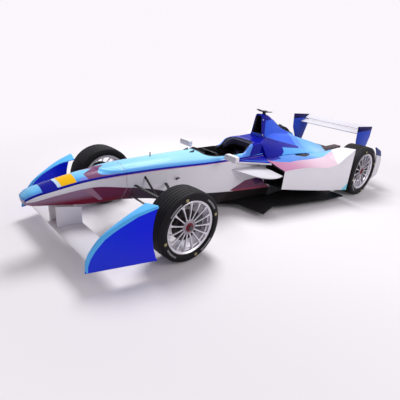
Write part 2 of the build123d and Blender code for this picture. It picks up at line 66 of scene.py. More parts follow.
def build_camera():
    forward = Vector((-sin(YAW) * cos(PITCH), cos(YAW) * cos(PITCH), -sin(PITCH)))
    level = Vector((cos(YAW), sin(YAW), 0))
    above = level.cross(forward)
    right = cos(ROLL) * level + sin(ROLL) * above
    up = -sin(ROLL) * level + cos(ROLL) * above
    lens = bpy.data.cameras.new("camera")
    lens.sensor_width = SENSOR_WIDTH
    lens.lens = SENSOR_WIDTH * FOCAL_SHARE
    turn = Matrix((right, up, -forward)).transposed().to_4x4()
    turn.translation = CAMERA_AT
    camera = placed("camera", lens)
    camera.matrix_world = turn
    bpy.context.scene.camera = camera
    print("lens", round(lens.lens, 2), "mm")


build_camera()

# %% [markdown]
# ## Helpers for nodes
# Every finish is made of shader nodes. `add` makes one node with its settings, and each of its inputs
# is a value or the socket that feeds it. The other helpers are the few steps that nearly every
# material repeats: some arithmetic, a fine noise, a mix of two colours and a bump.

# %% helpers for nodes
def feed(tree, node, inputs):
    """Gives each named input its value, or links the socket that feeds it."""
    for key, value in inputs.items():
        if isinstance(value, bpy.types.NodeSocket):
            tree.links.new(value, node.inputs[key])
        else:
            node.inputs[key].default_value = value


def add(tree, kind, inputs=None, **settings):
    """A node with its settings and its inputs."""
    node = tree.nodes.new(kind)
    for name, value in settings.items():
        setattr(node, name, value)
    feed(tree, node, inputs or {})
    return node


def calc(tree, how, *values, clamp=False):
    """One step of arithmetic on numbers or sockets."""
    node = add(tree, "ShaderNodeMath", dict(enumerate(values)), operation=how, use_clamp=clamp)
    return node.outputs[0]


def noise(tree, point, scale, detail=2):
    inputs = {"Scale": scale, "Detail": detail, "Vector": point}
    return add(tree, "ShaderNodeTexNoise", inputs).outputs["Fac"]


def faded(tree, value, start, end, low=0.0):
    """A soft step from low to 1 as the value goes from start to end."""
    inputs = {"From Min": start, "From Max": end, "To Min": low, "Value": value}
    return add(tree, "ShaderNodeMapRange", inputs, interpolation_type="SMOOTHSTEP").outputs["Result"]


def grouped(tree, group, **inputs):
    """The outputs of a node group that is placed in a tree with its own values."""
    return add(tree, "ShaderNodeGroup", inputs, node_tree=group).outputs


def mix_colour(tree, mask, under, over):
    inputs = {"Factor": mask, "A": under, "B": over}
    return add(tree, "ShaderNodeMix", inputs, data_type="RGBA").outputs["Result"]


def bumped(tree, height, strength, distance):
    inputs = {"Strength": strength, "Distance": distance, "Height": height}
    return add(tree, "ShaderNodeBump", inputs).outputs["Normal"]


def parts_of(tree, point):
    """A point's x, y and z."""
    return list(add(tree, "ShaderNodeSeparateXYZ", {"Vector": point}).outputs)


def object_point(tree):
    """Where a point lies on its object."""
    return add(tree, "ShaderNodeTexCoord").outputs["Object"]


def new_material(name):
    material = bpy.data.materials.new(name)
    material.use_nodes = True
    return material, material.node_tree, material.node_tree.nodes["Principled BSDF"]


print("node helpers ready")

# %% [markdown]
# ## Floor, world and lamps
# A studio for cars is a white room: big soft lamps above, a pale floor, and walls that fade into the
# light. The floor is one large sheet. The world is white where the camera or a reflection meets it, and
# weaker where it lights the car, so paint keeps its colour. Two broad area lamps give the body its
# highlights, and the shadow falls ahead of the nose.

# %% studio
ROOM_WHITE = (0.968, 0.925, 0.975, 1)
FLOOR_REACH = 60.0
FADE_START, FADE_END = 1.6, 4.8  # where the floor turns into the room, from its middle
FADE_LEAST = 0.03


def build_world(fill):
    world = bpy.data.worlds.new("studio")
    bpy.context.scene.world = world
    world.use_nodes = True
    tree = world.node_tree
    seen = add(tree, "ShaderNodeLightPath").outputs
    shown = calc(tree, "MAXIMUM", seen["Is Camera Ray"], seen["Is Glossy Ray"])
    shown = calc(tree, "MAXIMUM", shown, seen["Is Transmission Ray"])
    strength = add(tree, "ShaderNodeMapRange", {"To Min": fill, "Value": shown}).outputs["Result"]
    feed(tree, tree.nodes["Background"], {"Color": ROOM_WHITE, "Strength": strength})


def build_lamp(name, at, target, size, watts):
    lamp = bpy.data.lights.new(name, "AREA")
    lamp.shape = "DISK"
    lamp.size = size
    lamp.energy = watts
    holder = placed(name, lamp)
    holder.location = at
    holder.rotation_euler = (Vector(target) - Vector(at)).to_track_quat("-Z", "Y").to_euler()


def build_floor():
    mesh = bpy.data.meshes.new("floor_sheet")
    r = FLOOR_REACH
    mesh.from_pydata([(-r, -r, 0), (r, -r, 0), (r, r, 0), (-r, r, 0)], [], [(0, 1, 2, 3)])
    floor = placed("floor_sheet", mesh)
    material, tree, shader = new_material("floor_paint")
    point = object_point(tree)
    tone = mix_colour(tree, noise(tree, point, 0.4), (0.76, 0.73, 0.765, 1), (0.79, 0.76, 0.795, 1))
    feed(tree, shader, {"Base Color": tone, "Roughness": 0.6, "Specular IOR Level": 0.1})
    reach = add(tree, "ShaderNodeVectorMath", {0: point}, operation="LENGTH").outputs["Value"]
    seen = add(tree, "ShaderNodeLightPath").outputs["Is Camera Ray"]
    far = calc(tree, "MULTIPLY", faded(tree, reach, FADE_START, FADE_END, FADE_LEAST), seen)
    glow = add(tree, "ShaderNodeEmission", {"Color": ROOM_WHITE}).outputs[0]
    either = add(tree, "ShaderNodeMixShader", {"Fac": far, 1: shader.outputs[0], 2: glow})
    feed(tree, tree.nodes["Material Output"], {"Surface": either.outputs[0]})
    mesh.materials.append(material)


bpy.context.scene.view_settings.view_transform = "Standard"
build_world(0.38)
build_lamp("key_lamp", (-1.7, 1.0, 6.0), (0, -0.6, 0.3), 3.2, 415)
build_lamp("side_lamp", (5.2, 1.4, 3.0), (0.7, 0.4, 0.4), 3.0, 95)
build_floor()
print("floor, world and two lamps ready")

# %% [markdown]
# ## Measures and mesh helpers
# The body is a row of cross sections, so three helpers carry most of the work. `row_at` reads a
# table of sections between its rows, `rounded` turns a polygon's corners into short arcs, and
# `skinned` joins loops of points with four-sided faces. Sharp edges are marked by angle, so that
# paint is smooth across a panel and crisp at its folds.

# %% helpers for shape
MM = 0.001
FRONT_AXLE_Y = -1430
WHEELBASE = 3100


def at(x, station, z):
    """Metres from millimetres: x, the length behind the front axle, z."""
    return Vector((x * MM, (station + FRONT_AXLE_Y) * MM, z * MM))


def row_at(table, station):
    """A section table's values at a station, on a curve that never overshoots its rows."""
    rows = sorted(table)
    if station <= rows[0][0]:
        return list(rows[0][1:])
    if station >= rows[-1][0]:
        return list(rows[-1][1:])
    k = max(i for i, row in enumerate(rows[:-1]) if row[0] <= station)
    width = rows[k + 1][0] - rows[k][0]
    t = (station - rows[k][0]) / width

    def slope(i, j):
        return (rows[i + 1][j] - rows[i][j]) / (rows[i + 1][0] - rows[i][0])

    def tangent(i, j):
        if i == 0 or i == len(rows) - 1:
            return slope(min(i, len(rows) - 2), j)
        a, b = slope(i - 1, j), slope(i, j)
        return 0.0 if a * b <= 0 else 2 * a * b / (a + b)

    values = []
    for j in range(1, len(rows[0])):
        a, b = rows[k][j], rows[k + 1][j]
        m, n = tangent(k, j) * width, tangent(k + 1, j) * width
        values.append(
            a * (2 * t**3 - 3 * t**2 + 1) + m * (t**3 - 2 * t**2 + t)
            + b * (-2 * t**3 + 3 * t**2) + n * (t**3 - t**2)
        )
    return values


def rounded(corners, steps=4):
    """Closed loop through (x, z, radius) corners; each corner gives steps + 1 points."""
    loop = []
    for i, (x, z, radius) in enumerate(corners):
        here = Vector((x, z))
        back = Vector(corners[i - 1][:2]) - here
        on = Vector(corners[(i + 1) % len(corners)][:2]) - here
        a = here + back.normalized() * min(radius, back.length * 0.49)
        b = here + on.normalized() * min(radius, on.length * 0.49)
        for k in range(steps + 1):
            t = k / steps
            loop.append(a * (1 - t) ** 2 + here * 2 * t * (1 - t) + b * t**2)
    return loop


def steps_between(start, end, count):
    """Evenly spaced values, both ends included."""
    return [start + (end - start) * k / count for k in range(count + 1)]


def shade(mesh, angle):
    """Smooth shading that keeps folds sharper than the angle crisp."""
    mesh.shade_smooth()
    mesh.set_sharp_from_angle(angle=radians(angle))


def finish_mesh(bm, name, angle=32):
    """Merged, outward-facing mesh with sharp folds, on an object at the origin."""
    bmesh.ops.remove_doubles(bm, verts=bm.verts, dist=1e-6)
    bmesh.ops.recalc_face_normals(bm, faces=bm.faces)
    mesh = bpy.data.meshes.new(name)
    bm.to_mesh(mesh)
    bm.free()
    shade(mesh, angle)
    return placed(name, mesh)


def bridge(bm, one, two):
    """Four-sided faces between two rings of vertices."""
    for i in range(len(one)):
        j = (i + 1) % len(one)
        bm.faces.new((one[i], one[j], two[j], two[i]))


def skinned(name, shells, angle=32):
    """A piece of closed shells. Each is a list of loops, joined in turn, with a lid on each end."""
    bm = bmesh.new()
    for rows in shells:
        rings = [[bm.verts.new(p) for p in row] for row in rows]
        for one, two in zip(rings, rings[1:]):
            bridge(bm, one, two)
        bm.faces.new(rings[0])
        bm.faces.new(rings[-1][::-1])
    return finish_mesh(bm, name, angle)


def four(half, z, top_half, top_z, radius, top_radius=None, x=0):
    """Corners of a four-sided section with equal sides left and right of x."""
    top_radius = radius if top_radius is None else top_radius
    return [
        (x - half, z, radius), (x + half, z, radius),
        (x + top_half, top_z, top_radius), (x - top_half, top_z, top_radius),
    ]


def across_at(station, corners, steps=5):
    """A loop across the car at a station."""
    return [at(p.x, station, p.y) for p in rounded(corners, steps)]


def loft(name, sections, steps=5):
    """Closed skin through sections of (station, [(x, z, radius), ...])."""
    return skinned(name, [[across_at(s, corners, steps) for s, corners in sections]])


def modify(piece, kind, **settings):
    """Adds a modifier with its settings."""
    tool = piece.modifiers.new(kind.lower(), kind)
    for key, value in settings.items():
        setattr(tool, key, value)
    return tool


def baked(piece):
    """Applies a piece's modifiers by taking its evaluated mesh."""
    graph = bpy.context.evaluated_depsgraph_get()
    mesh = bpy.data.meshes.new_from_object(piece.evaluated_get(graph))
    old = piece.data
    piece.modifiers.clear()
    piece.data = mesh
    bpy.data.meshes.remove(old)
    return piece


def cut(piece, cutter):
    """Takes the cutter's volume out of the piece; the cut walls keep the cutter's paint."""
    tool = modify(piece, "BOOLEAN", operation="DIFFERENCE", solver="EXACT", object=cutter)
    if hasattr(tool, "material_mode"):
        tool.material_mode = "TRANSFER"
    baked(piece)
    bpy.data.objects.remove(cutter)
    return piece


def mirror_copy(bm):
    """Adds the mirror image across the car's centre plane."""
    made = bmesh.ops.duplicate(bm, geom=bm.verts[:] + bm.edges[:] + bm.faces[:])["geom"]
    for part in made:
        if isinstance(part, bmesh.types.BMVert):
            part.co.x = -part.co.x
    bmesh.ops.reverse_faces(bm, faces=[g for g in made if isinstance(g, bmesh.types.BMFace)])


def softened(node, name, width):
    """A copy of a solid with its flat faces joined and its edges rounded."""
    bm = bmesh.new()
    bm.from_mesh(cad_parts[node].data)
    bmesh.ops.remove_doubles(bm, verts=bm.verts, dist=1e-5)
    bmesh.ops.dissolve_limit(bm, angle_limit=radians(2), verts=bm.verts, edges=bm.edges)
    piece = finish_mesh(bm, name)
    for old in [a.name for a in piece.data.attributes if a.name == "custom_normal"]:
        piece.data.attributes.remove(piece.data.attributes[old])
    modify(piece, "BEVEL", width=width, segments=3, limit_method="ANGLE", angle_limit=radians(28))
    baked(piece)
    shade(piece.data, 40)
    return piece


def painted(piece, material):
    """Gives a piece its one material."""
    piece.data.materials.clear()
    piece.data.materials.append(material)
    return piece


def settle(piece, body, slot, *nodes):
    """Rides the piece on its body and hides the solids it stands for. The slot is not used."""
    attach(piece, body)
    if nodes:
        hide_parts(*nodes)
    print(piece.name, len(piece.data.polygons), "faces")
    return piece


print("shape helpers ready")

# %% [markdown]
# ## Paint and its node groups
# Real race paint is a colour coat under clear lacquer. Close up it has a slight orange peel, a little
# road dust low down, and tiny changes of tone from spraying. One node group makes those three and is
# placed in every paint with its own values. A second group cuts the crisp panels of the colour scheme:
# it is true inside four straight edges. The panels are worked out from where a point lies on the body,
# so the colours stay put when a wheel turns or the camera moves.

# %% group that cuts a panel
def new_group(name, inputs, outputs):
    """A node group with its named inputs and outputs; returns its inner inputs by name."""
    group = bpy.data.node_groups.new(name, "ShaderNodeTree")
    for label, kind, value in inputs:
        socket = group.interface.new_socket(label, in_out="INPUT", socket_type=kind)
        if value is not None:
            socket.default_value = value
    for label, kind in outputs:
        group.interface.new_socket(label, in_out="OUTPUT", socket_type=kind)
    return group, group.nodes.new("NodeGroupInput").outputs, group.nodes.new("NodeGroupOutput")


def build_panel_group():
    edges = [(f"Edge {k}", "NodeSocketVector", (0, 0, 0)) for k in (1, 2, 3, 4)]
    offsets = [(f"Offset {k}", "NodeSocketFloat", -1.0) for k in (1, 2, 3, 4)]
    group, into, out = new_group(
        "panel_mask",
        [
            ("Point", "NodeSocketVector", None), *edges, *offsets,
            ("Softness", "NodeSocketFloat", 0.0015),
        ],
        [("Mask", "NodeSocketFloat")],
    )
    point = into["Point"]
    least = None
    for k in (1, 2, 3, 4):
        dot = add(
            group, "ShaderNodeVectorMath", {0: point, 1: into[f"Edge {k}"]}, operation="DOT_PRODUCT",
        )
        inside = calc(group, "SUBTRACT", dot.outputs["Value"], into[f"Offset {k}"])
        least = inside if least is None else calc(group, "MINIMUM", least, inside)
    share = calc(group, "DIVIDE", least, into["Softness"])
    feed(group, out, {"Mask": calc(group, "ADD", share, 0.5, clamp=True)})
    return group


panel_group = build_panel_group()
print("group:", panel_group.name)

# %% group for the coat: tone, dust and orange peel
ROAD_DUST = (0.16, 0.14, 0.13, 1)


def build_coat_group():
    group, into, out = new_group(
        "lacquer_coat",
        [
            ("Point", "NodeSocketVector", None), ("Colour", "NodeSocketColor", (0.8, 0.8, 0.8, 1)),
            ("Dust", "NodeSocketFloat", 0.25), ("Gloss", "NodeSocketFloat", 0.22),
        ],
        [
            ("Colour", "NodeSocketColor"), ("Roughness", "NodeSocketFloat"),
            ("Height", "NodeSocketFloat"),
        ],
    )
    point = into["Point"]
    peel = noise(group, point, 260)
    cloud = noise(group, point, 3.1, 4)
    height = parts_of(group, point)[2]
    low = add(group, "ShaderNodeMapRange", {"From Min": 0.42, "From Max": 0.05, "Value": height})
    patchy = calc(group, "MULTIPLY", low.outputs["Result"], cloud)
    dusty = calc(group, "MULTIPLY", patchy, into["Dust"], clamp=True)
    shift = calc(group, "MULTIPLY_ADD", cloud, 0.10, 0.95)
    tone = add(group, "ShaderNodeHueSaturation", {"Value": shift, "Color": into["Colour"]})
    rough = calc(group, "MULTIPLY_ADD", dusty, 0.5, into["Gloss"])
    feed(group, out, {
        "Colour": mix_colour(group, dusty, tone.outputs["Color"], ROAD_DUST),
        "Roughness": calc(group, "MULTIPLY_ADD", peel, 0.04, rough),
        "Height": peel,
    })
    return group


coat_group = build_coat_group()
print("group:", coat_group.name)

# %% helpers that mix a paint
def rgb(*shown):
    """A colour from 0 to 255 as it looks, in the linear numbers that nodes use."""
    parts = [value / 255 for value in shown]
    return (*[c / 12.92 if c <= 0.04045 else ((c + 0.055) / 1.055) ** 2.4 for c in parts], 1)


SKY = rgb(108, 192, 248)
AZURE = rgb(52, 100, 236)
NAVY = rgb(14, 19, 148)
WHITE = rgb(222, 220, 226)
MAUVE = rgb(124, 76, 114)
WINE = rgb(124, 26, 52)
AMBER = rgb(246, 188, 14)
AQUA = rgb(120, 204, 224)


def folded_point(tree, source):
    """Point with its x made positive, so that both sides of the car match."""
    x, y, z = parts_of(tree, source)
    join = add(tree, "ShaderNodeCombineXYZ", {"X": calc(tree, "ABSOLUTE", x), "Y": y, "Z": z})
    return join.outputs["Vector"]


def panel(tree, point, axes, corners):
    """Mask that is 1 inside a convex outline of four corners, seen along the third axis."""
    node = add(tree, "ShaderNodeGroup", {"Point": point}, node_tree=panel_group)
    sides = list(zip(corners, corners[1:] + corners[:1]))
    turn = sum(p * s - r * q for (p, q), (r, s) in sides)
    for k, ((p, q), (r, s)) in enumerate(sides, start=1):
        inward = Vector((q - s, r - p)).normalized() * (1 if turn > 0 else -1)
        edge = [0.0, 0.0, 0.0]
        for axis, share in zip(axes, inward):
            edge[axis] = share
        feed(tree, node, {f"Edge {k}": edge, f"Offset {k}": inward.dot(Vector((p, q)))})
    return node.outputs["Mask"]


CHART, SIDE, PLAN = "chart", "side", "plan"


def paint(name, base, panels=(), gloss=0.22, dust=0.25, blends=(), raised=()):
    """Lacquered paint. A panel is (corners in metres, seen from, colour), laid on in turn. CHART
    reads the piece's map, SIDE looks along the car's width and PLAN looks down. A blend is (seen
    from, axis, from, to, colour), and a panel's colour may be (colour, *blend). A panel with a
    fourth value stays off the raised outlines."""
    material, tree, shader = new_material(name)
    where = add(tree, "ShaderNodeTexCoord").outputs
    point = folded_point(tree, where["Object"])

    def source(view):
        if view == CHART:
            return where["UV"], (0, 1)
        return point, ((1, 2) if view == SIDE else (0, 1))

    def blended(under, view, axis, start, end, over):
        place = parts_of(tree, source(view)[0])[axis]
        return mix_colour(tree, faded(tree, place, start, end), under, over)

    colour = base
    for blend in blends:
        colour = blended(colour, *blend)
    covered = 0.0
    for corners, view in raised:
        covered = calc(tree, "MAXIMUM", covered, panel(tree, *source(view), corners))
    for corners, view, over, *around in panels:
        mask = panel(tree, *source(view), corners)
        if around:
            mask = calc(tree, "MULTIPLY", mask, calc(tree, "SUBTRACT", 1.0, covered))
        colour = mix_colour(tree, mask, colour, blended(*over) if len(over) > 4 else over)
    coat = grouped(tree, coat_group, Point=where["Object"], Colour=colour, Dust=dust, Gloss=gloss)
    feed(tree, shader, {
        "Base Color": coat["Colour"], "Roughness": coat["Roughness"],
        "Normal": bumped(tree, coat["Height"], 0.03, 0.001),
        "Specular IOR Level": 0.07, "Coat Weight": 0.06, "Coat Roughness": 0.05,
    })
    return material


def on_plan(colour, *corners):
    """A panel seen from above, through (x, station) millimetres."""
    return [(x * MM, (s + FRONT_AXLE_Y) * MM) for x, s in corners], PLAN, colour


def on_side(colour, *corners):
    """A panel seen from the side, through (station, z) millimetres."""
    return [((s + FRONT_AXLE_Y) * MM, z * MM) for s, z in corners], SIDE, colour


def on_chart(colour, *corners):
    """A panel on the body's map, through (distance from the chine, station) millimetres."""
    return [(u * MM, s * MM) for u, s in corners], CHART, colour


white_paint = paint("white_paint", WHITE)
print("plain paint ready")

# %% [markdown]
# ## Other finishes
# Carbon fibre is a twill cloth in clear resin: two sets of dark bands that step across each other.
# Rubber, cast iron and machined metal each differ from paint mostly in roughness and in the direction
# of their marks. Each is its own material, and the weave and the turned marks are groups, because more
# than one material needs them.

# %% group for twill weave
def build_twill_group():
    group, into, out = new_group(
        "twill_weave",
        [("Point", "NodeSocketVector", None), ("Tow", "NodeSocketFloat", 0.004)],
        [("Tone", "NodeSocketFloat"), ("Height", "NodeSocketFloat")],
    )
    x, y, z = parts_of(group, into["Point"])
    u = calc(group, "DIVIDE", calc(group, "MULTIPLY_ADD", z, 0.8, x), into["Tow"])
    v = calc(group, "DIVIDE", calc(group, "MULTIPLY_ADD", z, 0.6, y), into["Tow"])
    stepped = calc(
        group, "MULTIPLY_ADD", calc(group, "FLOOR", v), 0.25, calc(group, "MULTIPLY", u, 0.25),
    )
    over = calc(group, "GREATER_THAN", calc(group, "FRACT", stepped), 0.5)
    ridges = [calc(group, "SINE", calc(group, "MULTIPLY", way, pi)) for way in (u, v)]
    one, two = (calc(group, "ABSOLUTE", ridge) for ridge in ridges)
    pick = add(group, "ShaderNodeMix", {"Factor": over, "A": one, "B": two})
    feed(group, out, {"Tone": over, "Height": pick.outputs["Result"]})
    return group


twill_group = build_twill_group()


def carbon(name, dark, light, gloss, tow=0.004):
    material, tree, shader = new_material(name)
    weave = grouped(tree, twill_group, Tow=tow, Point=object_point(tree))
    feed(tree, shader, {
        "Base Color": mix_colour(tree, weave["Tone"], dark, light),
        "Roughness": calc(tree, "MULTIPLY_ADD", weave["Tone"], 0.08, gloss),
        "Normal": bumped(tree, weave["Height"], 0.12, 0.0006),
        "Specular IOR Level": 0.2, "Coat Weight": 0.08, "Coat Roughness": 0.12,
    })
    return material


def grey(dark, blue=0.0):
    """A near-black in linear numbers, a little bluer if asked."""
    return dark, dark, dark + blue, 1


floor_carbon = carbon("floor_carbon", grey(0.006, 0.001), grey(0.013, 0.001), 0.42)
link_carbon = carbon("link_carbon", grey(0.004, 0.001), grey(0.010, 0.001), 0.34, 0.002)
inside_carbon = carbon("inside_carbon", grey(0.005, 0.001), grey(0.010, 0.002), 0.5, 0.003)
print("carbon ready")

# %% group for turned and brushed metal
def radius_at(tree, point):
    """A point's distance from the line along the car's width through zero."""
    _, y, z = parts_of(tree, point)
    squares = [calc(tree, "MULTIPLY", value, value) for value in (y, z)]
    return calc(tree, "SQRT", calc(tree, "ADD", *squares))


def build_turned_group():
    group, into, out = new_group(
        "turned_marks",
        [("Point", "NodeSocketVector", None), ("Pitch", "NodeSocketFloat", 0.0012)],
        [("Tone", "NodeSocketFloat"), ("Height", "NodeSocketFloat")],
    )
    radius = radius_at(group, into["Point"])
    rings = calc(group, "SINE", calc(group, "DIVIDE", radius, into["Pitch"]))
    share = calc(group, "MULTIPLY_ADD", rings, 0.5, 0.5)
    tone = calc(group, "MULTIPLY", share, noise(group, into["Point"], 40))
    feed(group, out, {"Tone": tone, "Height": tone})
    return group


turned_group = build_turned_group()


def centred(tree, centre):
    """Object coordinates with their zero moved to a wheel's centre."""
    inputs = {"Location": [-c for c in centre], "Vector": object_point(tree)}
    return add(tree, "ShaderNodeMapping", inputs).outputs["Vector"]


def metal(name, low, high, rough, centre=(0, 0, 0), pitch=0.0012, metallic=1.0, marks=0.1):
    material, tree, shader = new_material(name)
    turned = grouped(tree, turned_group, Pitch=pitch, Point=centred(tree, centre))
    feed(tree, shader, {
        "Base Color": mix_colour(tree, turned["Tone"], low, high),
        "Roughness": calc(tree, "MULTIPLY_ADD", turned["Tone"], 0.15, rough),
        "Normal": bumped(tree, turned["Height"], marks, 0.0003),
        "Metallic": metallic,
    })
    return material


CENTRES = {"front": at(0, 0, 325), "rear": at(0, WHEELBASE, 340)}
RIM_GREYS = rgb(200, 198, 206), rgb(230, 228, 234)
IRON_GREYS = (0.02, 0.018, 0.018, 1), (0.07, 0.065, 0.065, 1)
rim_metal, disc_iron = {}, {}
for end, centre in CENTRES.items():
    rim_metal[end] = metal(f"rim_metal_{end}", *RIM_GREYS, 0.30, centre, 0.0003, 0.7, 0.02)
    disc_iron[end] = metal(f"disc_iron_{end}", *IRON_GREYS, 0.45, centre, 0.0016)
bare_metal = metal("milled_metal", grey(0.20, 0.01), grey(0.42, 0.02), 0.4, pitch=0.004)
steel = metal("shaft_steel", grey(0.18, 0.01), grey(0.38, 0.02), 0.3, pitch=0.002)
casing_metal = metal(
    "cast_casing", grey(0.05, 0.005), grey(0.12, 0.01), 0.55, pitch=0.01, metallic=0.8,
)
hub_grey = metal(
    "hub_grey", rgb(146, 140, 150), rgb(182, 176, 186), 0.38, CENTRES["front"], 0.0006, 0.6, 0.03,
)
nut_red = metal("nut_red", rgb(96, 24, 36), rgb(150, 44, 54), 0.35, CENTRES["front"], 0.002, 0.6)
print("metals ready")

# %% [markdown]
# ## Tyres
# A tyre is not quite one black. The tread shows fine circumferential wear lines, the shoulder is
# smoother, and the sidewall carries pale printed marks, here plain dashes. The pattern is worked out
# from the radius and the angle about the wheel's centre.

# %% tyre rubber
def rubber(name, centre, outer_x, tyre_r):
    """Tyre rubber: worn grooves on the tread, fine rings and pale dashes on the outer wall."""
    material, tree, shader = new_material(name)
    point = centred(tree, centre)
    x, y, z = parts_of(tree, point)
    radius = radius_at(tree, point)

    def do(how, *values):
        return calc(tree, how, *values)

    def between(value, low, high):
        return do("MULTIPLY", do("GREATER_THAN", value, low), do("LESS_THAN", value, high))

    side = do("ABSOLUTE", x)
    grain = noise(tree, point, 35, 6)
    on_tread = do("GREATER_THAN", radius, tyre_r - 0.022)
    lines = do("SINE", do("MULTIPLY", side, tau / 0.012))
    groove = do("MULTIPLY", do("GREATER_THAN", lines, 0.55), on_tread)
    rings = do("MULTIPLY_ADD", do("SINE", do("MULTIPLY", radius, tau / 0.009)), 0.5, 0.5)
    fine = do("MULTIPLY", rings, do("SUBTRACT", 1.0, on_tread))
    tone = mix_colour(tree, grain, (0.004, 0.0035, 0.0045, 1), (0.013, 0.012, 0.014, 1))
    tone = mix_colour(tree, groove, tone, (0.022, 0.021, 0.024, 1))
    outside = do("GREATER_THAN", side, outer_x - 0.035)
    quarter = do("FRACT", do("MULTIPLY", do("ARCTAN2", z, y), 4 / tau))
    dash = do(
        "MULTIPLY", between(radius, tyre_r - 0.056, tyre_r - 0.040), between(quarter, 0.30, 0.62),
    )
    worn = do("MULTIPLY", do("MULTIPLY", dash, outside), do("MULTIPLY_ADD", grain, 0.7, 0.1))
    tone = mix_colour(tree, worn, tone, (0.42, 0.42, 0.45, 1))
    block = do(
        "MULTIPLY", between(radius, tyre_r - 0.060, tyre_r - 0.034), between(quarter, 0.13, 0.19),
    )
    tone = mix_colour(tree, do("MULTIPLY", block, outside), tone, (0.34, 0.30, 0.16, 1))
    feed(tree, shader, {
        "Base Color": tone, "Roughness": do("MULTIPLY_ADD", grain, 0.2, 0.5),
        "Normal": bumped(tree, do("SUBTRACT", do("MULTIPLY", fine, 0.6), groove), 0.5, 0.0012),
        "Specular IOR Level": 0.12,
    })
    return material


tyre_rubber = {
    "front": rubber("tyre_rubber_front", CENTRES["front"], 0.857, 0.325),
    "rear": rubber("tyre_rubber_rear", CENTRES["rear"], 0.873, 0.340),
}
print("rubber ready")

# %% [markdown]
# ## Nose and tub
# The nose is a shallow arch over flat flanks, folded at a chine, with a flat keel. One table of
# sections gives both halves, because the joint between them must not show as a step. A broad hump
# rises out of the nose and runs back along the tub. The mesh has a map that follows the surface: across
# it is the distance from the chine, and along it is the station, so the thin navy line stays on the
# chine and the coloured panels keep straight edges.

# %% sections of the body
# station, crown z, chine x, chine z, low x, low z, keel x, keel z
BODY_SECTIONS = [
    (-1070, 536, 72, 520, 72, 503, 45, 480),
    (-1000, 582, 100, 557, 112, 513, 55, 456),
    (-800, 632, 103, 586, 128, 540, 55, 420),
    (-550, 668, 121, 619, 143, 557, 55, 372),
    (-210, 696, 162, 637, 170, 503, 55, 342),
    (100, 703, 177, 634, 182, 430, 90, 300),
    (400, 706, 197, 626, 200, 330, 110, 190),
    (800, 706, 230, 617, 228, 268, 130, 68),
    (1250, 700, 246, 613, 268, 222, 190, 68),
    (1750, 700, 262, 613, 318, 190, 260, 68),
]
HUMP_START, HUMP_ROUND = -445, 190  # the rounded front of the hump and its length
HUMP_RISE, HUMP_EDGE = 7, 12  # its height and the width of its sloping edge
HUMP_SHARE = 0.93  # its share of the top's width


def hump_at(station, x, chine):
    """How far the hump stands up at a point of the top."""
    if station <= HUMP_START:
        return 0.0
    run = min(1.0, (station - HUMP_START) / HUMP_ROUND)
    half = HUMP_SHARE * chine * sqrt(1 - (1 - run) ** 2)
    return HUMP_RISE * max(0.0, min(1.0, (half - abs(x)) / HUMP_EDGE))


def top_height(x, station):
    """Height of the body's top at a point, in millimetres."""
    crown, chine, chine_z = row_at(BODY_SECTIONS, station)[:3]
    return chine_z + (crown - chine_z) * (1 - (x / chine) ** 2) + hump_at(station, x, chine)


def body_loop(station, tops=16):
    """One closed loop across the body, with each point's distance from the chine."""
    _, chine, chine_z, low, low_z, keel, keel_z = row_at(BODY_SECTIONS, station)
    half = []
    for k in range(tops + 1):
        x = chine * (k / tops) ** 0.85
        half.append((x, top_height(x, station), chine - x))
    flank = rounded([(chine, chine_z, 3), (low, low_z, 16), (keel, keel_z, 12), (0, keel_z, 1)], 4)
    for p in flank[2:]:
        half.append((p.x, p.y, -(Vector((chine, chine_z)) - p).length))
    half = half[:-4]
    other = [(-x, z, u) for x, z, u in half[::-1] if x > 0.5]
    return half + other


def build_body(name, stations, blunt=False):
    """Skin through body loops, with the map that the panels of colour follow."""
    bm = bmesh.new()
    chart = bm.loops.layers.uv.new("panels")
    from_chine = bm.verts.layers.float.new("from_chine")
    rings = []
    for s in stations:
        ring = []
        for x, z, u in body_loop(s):
            ring.append(bm.verts.new(at(x, s, z)))
            ring[-1][from_chine] = u * MM
        rings.append(ring)
    for one, two in zip(rings, rings[1:]):
        bridge(bm, one, two)
    front = rings[0]
    if blunt:
        middle = sum((v.co for v in front), Vector()) / len(front)
        for share, out in BLUNT_TIP:
            inner = []
            for v in rings[0]:
                w = bm.verts.new(middle + (v.co - middle) * share)
                w.co.y = (stations[0] + FRONT_AXLE_Y - out) * MM
                w[from_chine] = max(v[from_chine], 0.02)
                inner.append(w)
            bridge(bm, inner, front)
            front = inner
    bm.faces.new(front)
    bm.faces.new(rings[-1])
    for face in bm.faces:
        for loop in face.loops:
            loop[chart].uv = (loop.vert[from_chine], loop.vert.co.y - FRONT_AXLE_Y * MM)
    return finish_mesh(bm, name, 30)


BLUNT_TIP = ((0.86, 5), (0.60, 9), (0.30, 11))  # share of the first loop, how far ahead of it
NOSE_STATIONS = steps_between(-1058, -455, 34) + steps_between(-450, -212, 24)
TUB_STATIONS = steps_between(-208, 800, 40) + steps_between(825, 1745, 26)
print(len(NOSE_STATIONS) + len(TUB_STATIONS), "sections")
